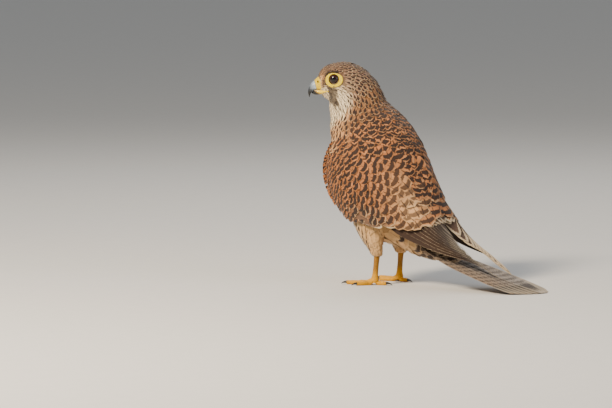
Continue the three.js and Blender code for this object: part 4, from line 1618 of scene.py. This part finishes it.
def flights(f: Array) -> dict[str, Array]:
    """Primaries, secondaries and the innermost long feathers.

    Args:
        f: Share of the tier, from the outermost feather to the innermost.

    Returns:
        Root and tip on the wing, depths there, width and fullness of the tip.
    """
    return {
        "root": pair(1.3 + 2.4 * f, 0.13 + 0.80 * f),
        "tip": pair(np.interp(f, [0, 0.35, 0.75, 0.9, 1], [9.95, 8.5, 8.0, 7.5, 6.9]), 0.2 + 0.72 * f**0.9),
        "depth": pair(4.8 + f, 1.9 + 0.5 * f),
        "width": 11 + 8 * f * f,
        "point": 1.7 + 1.8 * f,
    }


def great_coverts(f: Array) -> dict[str, Array]:
    """Long coverts and shoulder feathers that end in one line over the flights.

    Args:
        f: Share of the tier, from the outermost feather to the innermost.

    Returns:
        Root and tip on the wing, depths there, width and fullness of the tip.
    """
    t = 0.05 + 0.88 * f
    tip = np.interp(t, COVER_EDGE_T, COVER_EDGE_S)
    return {
        "root": pair(tip - 1.9 - 0.6 * f, np.minimum(t + 0.03, 0.93)),
        "tip": pair(tip, t),
        "depth": pair(2.9 + 0 * f, 0.8 + 0 * f),
        "width": 13 + 6 * f,
        "point": 2.6 + 0 * f,
    }


@dataclass
class Wing:
    """One folded wing: two tiers of large feathers and the small coverts over its front."""

    side: Side
    skin: Skin
    rng: np.random.Generator

    def _tier(self, tier: Tier, ground: Array, marks: Array, row: float) -> Vanes:
        """One tier as joined feathers.

        Args:
            tier: The tier.
            ground: Ground colour of each feather.
            marks: Streak, bars and edge of each feather.
            row: Height of the tier's strip on the colour map.

        Returns:
            The joined feathers on this side.
        """
        lie, _ = tier.lie()
        lie.mirrored = self.side is Side.RIGHT
        length = np.linalg.norm(lie.at[:, -1] - lie.at[:, 0], axis=-1)
        spot = np.column_stack([(np.arange(tier.count) + 0.5) / tier.count, np.full(tier.count, row)])
        full = np.column_stack([marks, length / 100])
        marking = Marking(ground * self.rng.uniform(0.92, 1.08, (tier.count, 1)), full,
                          self.rng.uniform(0, 1, tier.count), spot, (0.8 / tier.count, 0.2))
        columns = (-1, -0.8, -0.5, -0.2, -0.05, 0, 0.05, 0.2, 0.5, 0.8, 1)
        return weave(lie, marking, columns, self.rng, tier.camber, tier.thick, 0.006, 0.18,
                     lambda points: on_side(points, self.side))

    def roots(self) -> Roots:
        """Roots of the coverts, from the wrist to just short of the cover's edge.

        Returns:
            The roots.
        """
        dense = 24000
        t = self.rng.uniform(0.0, 1.0, dense)
        s = self.rng.uniform(-0.12, 6.6, dense)
        depth = 2.6 - 1.3 * smooth(s, 2.0, 4.0)
        rough = on_side(in_wing(s, t, depth), self.side)
        length = np.interp(s, [0, 1, 2, 3, 5, 6.6], [7, 10, 14, 19, 24, 26]) * (0.85 + 0.2 * t)
        length = length * (1 + 0.35 * bump(s, 1.6, 1.0) * smooth(t, 0.35, 0.1))
        end = s + length / 21
        inside = end < np.interp(t, COVER_EDGE_T, COVER_EDGE_S) - 0.1
        s, t, rough, length = s[inside], t[inside], rough[inside], length[inside]
        kept = scatter(self.rng, rough, length * 0.40)
        s, t, rough, length = s[kept], t[kept], rough[kept], length[kept]
        ahead = on_side(in_wing(s + 0.1, t - 0.01, 2.0 + 0 * s), self.side)
        heading = unit(ahead - on_side(in_wing(s - 0.1, t + 0.01, 2.0 + 0 * s), self.side))
        centre = bump(s, 3.8, 1.8) * bump(t, 0.55, 0.5)
        ground = blend(np.tile(np.array(RUFOUS), (len(s), 1)), BUFF, centre * 0.75)
        lower = smooth(s, 0.8, 1.4) * smooth(t, 0.32, 0.16)
        ground = blend(ground, tone("#6e513c"), lower * 0.55)
        edge = 0.10 + 0.35 * smooth(s, 2.4, 4.4) + 0.5 * lower
        marks = np.column_stack([0.14 + 0 * s, 1 - 0.3 * centre, edge, length / 100])
        spot = np.column_stack([t, (s + 0.12) / 6.8]) * 0.98 + 0.01
        lift = 1.2 + 0.4 * smooth(s, 0, 1)
        return Roots(rough, heading, length, length * 0.80, lift, ground, marks, spot)

    def build(self, finish: bpy.types.Material) -> None:
        """Makes the large feathers, which stand for the wing's node.

        Args:
            finish: Their finish.
        """
        f = np.linspace(0, 1, 12)
        dark = blend(np.tile(np.array(tone("#3b2a20")), (len(f), 1)), tone("#5a4334"), smooth(f, 0.75, 1))
        marks = np.column_stack([0 * f, 0 * f, 0.7 + 0 * f])
        batches = [self._tier(Tier(len(f), 26, 0.07, 0.7, flights), dark, marks, 0.2)]
        f = np.linspace(0, 1, 10)
        tawny = blend(np.tile(np.array(TAWNY), (len(f), 1)), tone("#7a5b45"), smooth(f, 0.3, 0.0))
        marks = np.column_stack([0.1 + 0 * f, smooth(f, 0.0, 0.3), 0.9 + 0 * f])
        batches.append(self._tier(Tier(len(f), 18, 0.08, 0.7, great_coverts), tawny, marks, 0.7))
        name = f"wing_feathers_{self.side.word}"
        piece = Vanes.join(batches).build(name, finish)
        keep(piece, "wing_plumage", f"wing_{self.side.word}")


@dataclass
class Tail:
    """Twelve tail feathers in a narrow fan, the middle pair on top."""

    rng: np.random.Generator
    feathers: int = 12

    def build(self, finish: bpy.types.Material) -> None:
        """Makes the tail feathers, which stand for the tail's node.

        Args:
            finish: Their finish.
        """
        place = np.arange(self.feathers) - (self.feathers - 1) / 2
        rank = np.abs(place) - 0.5
        length = TAIL_LENGTH - 13 * (rank / 5) ** 1.4 - np.where(place > 0, rank * 0.8, 0)
        turn, roll = np.radians(place * 0.95 - 1.6), np.radians(place * 0.7)
        u = 0.1 + 0.9 * np.linspace(0, 1, 44) ** 0.9
        along = u * length[:, None] * np.cos(turn)[:, None]
        across = (place * 2.5)[:, None] + u * length[:, None] * np.sin(turn)[:, None]
        at = in_tail(along, (-4.2 - 0.95 * rank)[:, None] + 0 * u, across)
        zero = in_tail(0.0, 0.0, 0.0)
        side = in_tail(0 * roll, -np.sin(roll), np.cos(roll)) - zero
        out = in_tail(0 * roll, np.cos(roll), np.sin(roll)) - zero
        side, out = (np.repeat(rows[:, None], len(u), axis=1) for rows in (side, out))
        half = feather_half(u, 20 - rank * 0.5, 5.0 + 0 * rank, 0.6)
        lie = Lie(at, side, out, half, 0 * half, u)
        grey = blend(np.tile(np.array(tone("#a08468")), (12, 1)), tone("#94887c"), 1 - rank / 5)
        marks = np.column_stack([0 * rank, 0.85 + 0 * rank, 0.5 + 0 * rank, length / 100])
        spot = np.column_stack([(np.arange(12) + 0.5) / 12, np.full(12, 0.5)])
        marking = Marking(grey, marks, self.rng.uniform(0, 0.15, 12), spot, (0.075, 0.9))
        columns = (-1, -0.85, -0.6, -0.35, -0.15, -0.04, 0, 0.04, 0.15, 0.35, 0.6, 0.85, 1)
        piece = weave(lie, marking, columns, self.rng, 0.03, 0.35, 0.004, 0.25, lay)
        keep(piece.build("tail_feathers", finish), "tail_plumage", "tail")


# Head furniture and legs


def bill_ring(row: Array, bite: int, sides: int) -> Array:
    """Rings across the bill: flat on the biting side, and wider there by the flare.

    Args:
        row: Sections of the bill.
        bite: -1 where the underside bites, 1 where the top does.
        sides: Corners of each ring.

    Returns:
        Rings by sides by three.
    """
    angle = 2 * math.pi * (np.arange(sides) + 0.5) / sides
    c, s = np.cos(angle), np.sin(angle)
    power = np.where(c * bite > 0, 0.45, 1.0)
    rise, side = np.sign(c) * np.abs(c) ** power, np.sign(s) * np.abs(s) ** power
    row = row[:, None, :]
    middle_f, middle_u = (row[..., 0] + row[..., 2]) / 2, (row[..., 1] + row[..., 3]) / 2
    half_f, half_u = (row[..., 0] - row[..., 2]) / 2, (row[..., 1] - row[..., 3]) / 2
    across = side * row[..., 4] * (1 + row[..., 5] * np.maximum(0, rise * bite) ** 3)
    return in_head(middle_f + half_f * rise, across, middle_u + half_u * rise)


@dataclass
class Bill:
    """Cere and the two halves of the bill."""

    sides: int = 56
    cere: tuple[Array, list[list[int]]] | None = None

    def _shape(self, rows: Array, bite: int) -> tuple[Array, list[list[int]], Array]:
        """Closed shape through the sections of one part of the bill.

        Args:
            rows: Sections from the root to the tip.
            bite: -1 where the underside bites, 1 where the top does.

        Returns:
            Points, faces, and how far along each point lies, from 0 to 1.
        """
        place = np.linspace(0, len(rows) - 1, 44)
        points, faces = loft(bill_ring(between(rows, place), bite, self.sides))
        share = np.repeat(place / (len(rows) - 1), self.sides)
        return points, faces, np.concatenate([share, [0, 1]])

    def _piece(self, name: str, points: Array, faces: list[list[int]], shares: tuple[Array, Array],
               finish: bpy.types.Material) -> bpy.types.Object:
        """Makes one piece of the bill.

        Args:
            name: Name of the piece.
            points: Its points.
            faces: Its faces.
            shares: How far along each point lies, and how strongly painted shade darkens a nostril's hollow
                there.
            finish: Its finish.

        Returns:
            The object.
        """
        piece = MODEL.mesh(name, points, face_outward(points, faces))
        _, _, up = to_head(points).T
        paint(piece, "vane", np.column_stack([shares[0], up / 20, shares[1]]))
        piece.data.materials.append(finish)
        return piece

    def _nostrils(self, points: Array) -> Array:
        """Presses a round nostril into each side of the cere, with a small peg in its middle.

        Args:
            points: The cere's points.

        Returns:
            The moved points.
        """
        local = to_head(points)
        for sign in (1, -1):
            off = local - np.array([NOSTRIL["forward"], sign * NOSTRIL["lateral"], NOSTRIL["up"]])
            near = np.hypot(off[:, 0], off[:, 2]) / NOSTRIL["radius"]
            facing = np.sign(local[:, 1]) == sign
            hollow = 1.3 * (1 - smooth(near, 0.55, 1.0)) - 0.7 * (1 - smooth(near, 0.0, 0.4))
            rim = 0.25 * (1 - smooth(np.abs(near - 1.15), 0, 0.35))
            local[:, 1] -= np.where(facing, sign * (hollow - rim), 0)
        return in_head(local[:, 0], local[:, 1], local[:, 2])

    def build(self) -> None:
        """Makes cere, upper bill and lower bill."""
        horn = HornFinish("bill_horn", "#a3b0bd", "#3c4147", "#090808", (0.05, 0.40, 0.60)).build()
        lower = HornFinish("lower_bill_horn", "#ecc800", "#a07a1c", "#100f0e", (0.50, 0.60, 0.68)).build()
        skin = BareSkinFinish("cere_skin", "#ecc800", "#a87800", 1500.0, 0.38, 0.1).build()
        points, faces, share = self._shape(CERE, -1)
        points = self._nostrils(points)
        self.cere = (points, face_outward(points, faces))
        forward, _, up = to_head(points).T
        off = np.hypot(forward - NOSTRIL["forward"], up - NOSTRIL["up"]) / NOSTRIL["radius"]
        # Painted shade in each nostril's hollow, lighter on the peg in its middle.
        hollow_shade = smooth(off, 1.05, 0.8) * (1 - 0.7 * smooth(off, 0.4, 0.15))
        keep(self._piece("cere_skin", *self.cere, (share, hollow_shade), skin), "yellow_skin", "cere")
        points, faces, share = self._shape(UPPER_BILL, -1)
        piece = self._piece("bill_upper_horn", points, faces, (share, 0 * share), horn)
        keep(piece, "bill_horn", "bill_upper")
        points, faces, share = self._shape(LOWER_BILL, 1)
        _, _, up = to_head(points).T
        share = share + 0.055 * (-11.4 - up)
        piece = self._piece("bill_lower_horn", points, faces, (share, 0 * share), lower)
        keep(piece, "bill_horn", "bill_lower")


@dataclass
class Eye:
    """Eyeball and the bare yellow lids round it."""

    side: Side
    rings: int = 40
    turns: int = 56

    def _axes(self) -> tuple[Array, Array, Array]:
        """Look, forward and up of the eye."""
        look = eye_look(self.side)
        up = np.array([0, 0, 1.0])
        ahead = unit(np.cross(up, look)) * -self.side.value
        return look, -ahead if np.dot(ahead, HEAD_FORWARD) < 0 else ahead, up

    def ball(self, finish: bpy.types.Material) -> None:
        """Makes the eyeball.

        Args:
            finish: Its finish.
        """
        look, ahead, up = self._axes()
        tilt = np.linspace(0.02, math.pi - 0.02, self.rings)[:, None]
        turn = np.linspace(0, 2 * math.pi, self.turns, endpoint=False)
        radius = EYE_RADIUS
        flat = np.sin(tilt) * radius
        places = (look * (np.cos(tilt) * radius)[..., None]
                  + ahead * (flat * np.cos(turn))[..., None] + up * (flat * np.sin(turn))[..., None])
        points, faces = loft(eye_centre(self.side) + places)
        piece = MODEL.mesh(f"eyeball_{self.side.word}", points, face_outward(points, faces))
        out = np.repeat(np.sin(tilt[:, 0]) * np.where(tilt[:, 0] < math.pi / 2, 1, 9), self.turns)
        around = np.tile(turn / (2 * math.pi), self.rings)
        vane = np.column_stack([np.append(out, [0, 1]), np.append(around, [0, 0]), np.zeros(len(points))])
        paint(piece, "vane", vane)
        piece.data.materials.append(finish)
        keep(piece, "eye", f"eye_{self.side.word}")

    def lids(self, finish: bpy.types.Material, skin: "Surface") -> None:
        """Makes the ring of bare skin, wide in front of the eye and behind it, lying on the head.

        Args:
            finish: Its finish.
            skin: The head's surface.
        """
        look, ahead, up = self._axes()
        turn = np.linspace(0, 2 * math.pi, 72, endpoint=False)
        inner = 5.05 + 0 * turn
        outer = lid_reach(turn)
        section = []
        for step in np.linspace(0, 1, 15):
            reach = inner + (outer - inner) * step
            hug = np.sqrt(np.maximum((EYE_RADIUS + 0.12) ** 2 - np.minimum(reach, 5.4) ** 2, 0.5))
            rim = 0.45 * math.sin(math.pi * min(step * 2.2, 1)) ** 0.8
            ripple = 0.10 * np.sin(turn * 26 + step * 9) * math.sin(math.pi * step)
            spread = ahead * (reach * np.cos(turn))[:, None] + up * (reach * np.sin(turn))[:, None]
            start = eye_centre(self.side) + spread
            landed, _ = skin.nearest(start + look * 4.0)
            for _ in range(3):
                landed, _ = skin.nearest(start + look * dot(landed - start, look))
            rest = dot(landed - start, look)[:, 0] + 0.75
            share = smooth(np.full(len(turn), step), 0.15, 0.75)
            section.append((reach, np.maximum((hug + rim) * (1 - share) + rest * share, rest) + ripple))
        for step in np.linspace(1, 0, 5)[1:]:
            reach = inner + 0.2 + (outer - inner - 0.4) * step
            section.append((reach, np.minimum(section[0][1], section[14][1]) - 1.6))
        rings = np.stack([
            eye_centre(self.side) + look * height[:, None]
            + ahead * (reach * np.cos(turn))[:, None] + up * (reach * np.sin(turn))[:, None]
            for reach, height in section])
        points = rings.reshape(-1, 3)
        count, sides = rings.shape[:2]
        # Painted shade on the innermost rings and on the rings that turn down into the gap round the
        # eyeball.
        edge = np.array([1.0, 0.9, 0.35] + [0.0] * (count - 5) + [0.5, 1.0])
        faces = [[i * sides + j, i * sides + (j + 1) % sides,
                  ((i + 1) % count) * sides + (j + 1) % sides, ((i + 1) % count) * sides + j]
                 for i in range(count) for j in range(sides)]
        piece = MODEL.mesh(f"lids_{self.side.word}", points, face_outward(points, faces))
        # The painted shade of each ring, carried as the third value.
        rim = np.repeat(edge, sides)
        paint(piece, "vane", np.column_stack([rim * 0, rim * 0, rim]))
        piece.data.materials.append(finish)
        keep(piece, "yellow_skin")


@dataclass
class Leg:
    """One bare leg: shank, foot with scaled toes, and four claws."""

    side: Side
    voxel: float = 0.28

    def _tube(self, line: Array, ahead: Array, radius: Array, sides: int) -> Array:
        """Rings round a line, with a radius for each ring and corner."""
        up = np.array([0, 0, 1.0])
        right = unit(np.cross(up + 1e-6, ahead))
        high = unit(np.cross(ahead, right))
        turn = np.linspace(0, 2 * math.pi, sides, endpoint=False)
        spread = right[:, None] * np.cos(turn)[:, None] + high[:, None] * np.sin(turn)[:, None]
        return line[:, None] + spread * radius[..., None]

    def _toe(self, direction: Array, length: float, radius: float) -> tuple[Array, list[list[int]]]:
        """One toe with plates on top and pads below.

        Args:
            direction: Direction on the floor.
            length: Length from the middle of the foot.
            radius: Radius at the middle.

        Returns:
            Points and faces.
        """
        u = np.linspace(0, 1, 60)
        turn = np.linspace(0, 2 * math.pi, 28, endpoint=False)
        pad = np.interp(u, [0, 0.18, 0.34, 0.48, 0.62, 0.78, 0.9, 1], [0.92, 1.1] * 4)
        size = radius * (pad * 0.5 + 0.5) * (1.1 - 0.3 * u)
        plates = (u * length / 1.5) % 1.0
        top = np.maximum(np.sin(turn), 0) ** 0.6
        scale = 1 + 0.10 * top * (1 - (2 * plates[:, None] - 1) ** 4) - 0.05 * top
        knobs = 1 + 0.05 * np.sin(turn * 7 + u[:, None] * length * 2.2) * np.maximum(-np.sin(turn), 0)
        hub = np.array([self.side.value * HUB[0], HUB[1], 0])
        height = radius * 0.86 + 2.6 * (1 - smooth(u, 0, 0.35))
        line = hub + direction * (u * length)[:, None] + np.array([0, 0, 1.0]) * height[:, None]
        rings = self._tube(line, np.tile(direction, (len(u), 1)), size[:, None] * scale * knobs, 28)
        rings[..., 2] = np.maximum(rings[..., 2], 0.0)
        return loft(rings)

    def _claw(self, direction: Array, toe: tuple[float, float, float, float]) -> Array:
        """Rings of one curved claw.

        Args:
            direction: Direction of the toe on the floor.
            toe: The toe's turn, length, radius and length of claw.

        Returns:
            Rings by sides by three.
        """
        _, length, radius, claw = toe
        u = np.linspace(0, 1, 22)
        sweep = u * 1.25
        run, rise = np.sin(sweep) * claw * 0.72, (np.cos(sweep) - 1) * claw * 0.42 + 0.9 * u
        size = radius * 0.66 + (0.12 - radius * 0.66) * u**0.9
        height = np.maximum(radius * 0.86 + 0.25 + rise, size + 0.1)
        hub = np.array([self.side.value * HUB[0], HUB[1], 0])
        line = hub + direction * (length - 0.5 + run)[:, None] + np.array([0, 0, 1.0]) * height[:, None]
        ahead = unit(np.gradient(line, axis=0))
        return self._tube(line, ahead, size[:, None] * np.ones(20), 20)

    def _direction(self, turn: float) -> Array:
        """Floor direction of a toe."""
        angle = math.radians(self.side.value * (TOE_OUT[self.side] + turn))
        return np.array([math.sin(angle), -math.cos(angle), 0])

    def _shank(self) -> tuple[Array, list[list[int]]]:
        """The bare shank, with plates down its front.

        Returns:
            Points and faces.
        """
        foot = np.array([self.side.value * HUB[0], HUB[1], 0])
        knee = np.array([self.side.value * KNEE[0], KNEE[1], KNEE[2]])
        z = np.linspace(2.2, KNEE[2] + 4, 60)
        line = foot + (knee - foot) * (z / knee[2])[:, None]
        line[:, 2] = z
        size = np.interp(z, [2.2, 5, 8, 11, 20, 26, 34], [3.6, 4.2, 3.3, 2.8, 2.6, 2.8, 3.4])
        turn = np.linspace(0, 2 * math.pi, 32, endpoint=False)
        front = np.maximum(-np.sin(turn), 0) ** 0.7
        plates = (z / 2.3) % 1.0
        radius = size[:, None] * (1 + 0.07 * front * (1 - (2 * plates[:, None] - 1) ** 4))
        ring = np.stack([np.cos(turn), np.sin(turn), 0 * turn], axis=-1)
        return loft(line[:, None] + ring * radius[..., None])

    def build(self, skin: bpy.types.Material, horn: bpy.types.Material) -> None:
        """Makes the foot and shank as one piece, and the claws as another.

        Args:
            skin: Finish of the bare skin.
            horn: Finish of the claws.
        """
        word = self.side.word
        shapes = [self._toe(self._direction(turn), length, radius)
                  for turn, length, radius, _ in TOES.values()]
        piece = MODEL.mesh(f"bare_leg_{word}", *join_shapes([*shapes, self._shank()]))
        data = one_surface(piece, self.voxel, 1)
        piece.modifiers.clear()
        piece.data = data
        data.materials.append(skin)
        keep(piece, "yellow_skin", f"foot_{word}", f"shank_{word}")
        rings = [self._claw(self._direction(toe[0]), toe) for toe in TOES.values()]
        claws = MODEL.mesh(f"claws_{word}", *join_shapes([loft(ring) for ring in rings]))
        share = np.concatenate([np.append(np.repeat(np.linspace(0, 1, 22), 20), [0, 1]) for _ in rings])
        paint(claws, "vane", np.column_stack([share, 0 * share, 0 * share]))
        claws.data.materials.append(horn)
        keep(claws, "claw_horn", *(f"claw_{toe}_{word}" for toe in TOES))


@dataclass
class Studio:
    """Floor, soft light and the camera at the photograph's viewing angle."""

    azimuth: float = 125.0
    elevation: float = 5.0
    distance: float = 5.0
    metres_per_pixel: float = 0.001
    frame: tuple[int, int] = (612, 408)
    origin_pixel: tuple[float, float] = (386.0, 283.0)

    def build(self) -> None:
        """Makes the camera, the floor and the lights."""
        turn, lift = math.radians(self.azimuth), math.radians(self.elevation)
        level = math.cos(lift)
        outward = np.array([math.sin(turn) * level, -math.cos(turn) * level, math.sin(lift)])
        right = np.array([math.cos(turn), math.sin(turn), 0.0])
        up = np.cross(outward, right)
        across = (self.frame[0] / 2 - self.origin_pixel[0]) * self.metres_per_pixel
        above = (self.origin_pixel[1] - self.frame[1] / 2) * self.metres_per_pixel
        aim = MODEL.metres(np.zeros(3)) + right * across + up * above
        data = bpy.data.cameras.new("camera")
        data.sensor_width = 36.0
        data.lens = 36.0 * self.distance / (self.frame[0] * self.metres_per_pixel)
        data.clip_end = 50.0
        camera = bpy.data.objects.new("camera", data)
        camera.location = Vector(aim + outward * self.distance)
        camera.rotation_euler = Vector(-outward).to_track_quat("-Z", "Y").to_euler()
        bpy.context.scene.collection.objects.link(camera)
        bpy.context.scene.camera = camera
        reach = 6.0
        floor = bpy.data.meshes.new("floor")
        corners = [(-reach, -reach, 0), (reach, -reach, 0), (reach, reach, 0), (-reach, reach, 0)]
        floor.from_pydata(corners, [], [(0, 1, 2, 3)])
        ground = bpy.data.objects.new("floor", floor)
        floor.materials.append(PlainFinish("pale_floor", "#d9d6d0").build())
        bpy.context.scene.collection.objects.link(ground)
        self._light("key", -right * 1.1 + outward * 1.0 + np.array([0, 0, 1.15]), 66.0, 0.42, "#ffefd8")
        self._light("fill", right * 1.3 + outward * 0.9 + np.array([0, 0, 0.7]), 8.0, 1.2, "#e8f0ff")
        self._light("back", -outward * 1.2 + np.array([0, 0, 1.4]), 8.0, 1.0, "#ffffff")
        world = bpy.data.worlds.new("studio")
        world.use_nodes = True
        background = world.node_tree.nodes["Background"]
        background.inputs["Color"].default_value = (0.86, 0.9, 0.95, 1.0)
        background.inputs["Strength"].default_value = 0.36
        bpy.context.scene.world = world

    def _light(self, name: str, at: Array, power: float, size: float, colour: str) -> None:
        """Adds a square area light that looks at the bird.

        Args:
            name: Its name.
            at: Where it stands, in metres.
            power: Its power in watts.
            size: Its width in metres.
            colour: Its colour.
        """
        data = bpy.data.lights.new(name, "AREA")
        data.energy, data.size, data.color = power, size, tone(colour)
        lamp = bpy.data.objects.new(name, data)
        target = np.array([0, 0, 0.1])
        lamp.location = Vector(at)
        lamp.rotation_euler = Vector(target - at).to_track_quat("-Z", "Y").to_euler()
        bpy.context.scene.collection.objects.link(lamp)


def main() -> None:
    """Builds the bird and the studio."""
    logging.basicConfig(level=logging.INFO, format="%(name)s: %(message)s")
    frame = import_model()
    LOG.info("%d nodes in the frame", len(frame["nodes"]))
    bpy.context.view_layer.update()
    MODEL.align()
    Studio().build()
    rng = np.random.default_rng(7)
    skin = Skin()
    skin.build()
    coat = BodyCoat(skin, rng)
    groom = Groom(skin.bare, rng)
    cover = Groom(skin.cover, rng)
    body_finish = FeatherFinish("body_feathers").build()
    wing_finish = FeatherFinish("wing_feathers", pale="#d8c19c", rim_from=0.955).build()
    tail = FeatherFinish("tail_feathers", dark="#2b211b", pale="#cdbb9f", scatter=0.1, band=1.0)
    tail_finish = tail.build()
    fine = Groom(skin.bare, rng, 6, (-1, -0.45, 0, 0.45, 1))
    bill = Bill()
    bill.build()
    cere_points, cere_faces = bill.cere
    face_faces = skin.faces + [[corner + len(skin.corners) for corner in face] for face in cere_faces]
    face_surface = Surface(np.vstack([skin.corners, cere_points]), face_faces)
    face = Groom(face_surface, rng, 6, (-1, -0.45, 0, 0.45, 1))
    grown = []
    for name, roots, grower, slot in (
        ("head_coat", coat.head(), fine, "crown_plumage"),
        ("lores_coat", coat.lores(), face, "crown_plumage"),
        ("neck_coat", coat.neck(), groom, "body_plumage"),
        ("trunk_coat", coat.trunk(), cover, "body_plumage"),
        ("mantle_coat", coat.mantle(), cover, "body_plumage"),
        ("thigh_coat_left", coat.thighs(Side.LEFT), groom, "thigh_plumage"),
        ("thigh_coat_right", coat.thighs(Side.RIGHT), groom, "thigh_plumage"),
        ("covert_coat_left", Wing(Side.LEFT, skin, rng).roots(), cover, "wing_plumage"),
        ("covert_coat_right", Wing(Side.RIGHT, skin, rng).roots(), cover, "wing_plumage"),
    ):
        piece = grower.grow(roots).build(name, body_finish)
        keep(piece, slot)
        grown.append(roots)
    more = coat.fill(grown)
    keep(cover.grow(more).build("filling_coat", body_finish), "body_plumage")
    skin.dress(grown)
    for side in Side:
        Wing(side, skin, rng).build(wing_finish)
    Tail(rng).build(tail_finish)
    eye_finish = EyeFinish().build()
    lid_finish = BareSkinFinish("lid_skin", "#efd000", "#a07000", 2200.0, 0.4, 0.12).build()
    leg_finish = BareSkinFinish("leg_skin", "#dfa000", "#8a5a08", 1000.0, 0.45, 0.4, 0.7).build()
    claw_finish = HornFinish("claw_horn", "#2a2623", "#12100f", "#060606").build()
    for side in Side:
        eye = Eye(side)
        eye.ball(eye_finish)
        eye.lids(lid_finish, skin.bare)
        Leg(side).build(leg_finish, claw_finish)


if __name__ == "__main__":
    main()
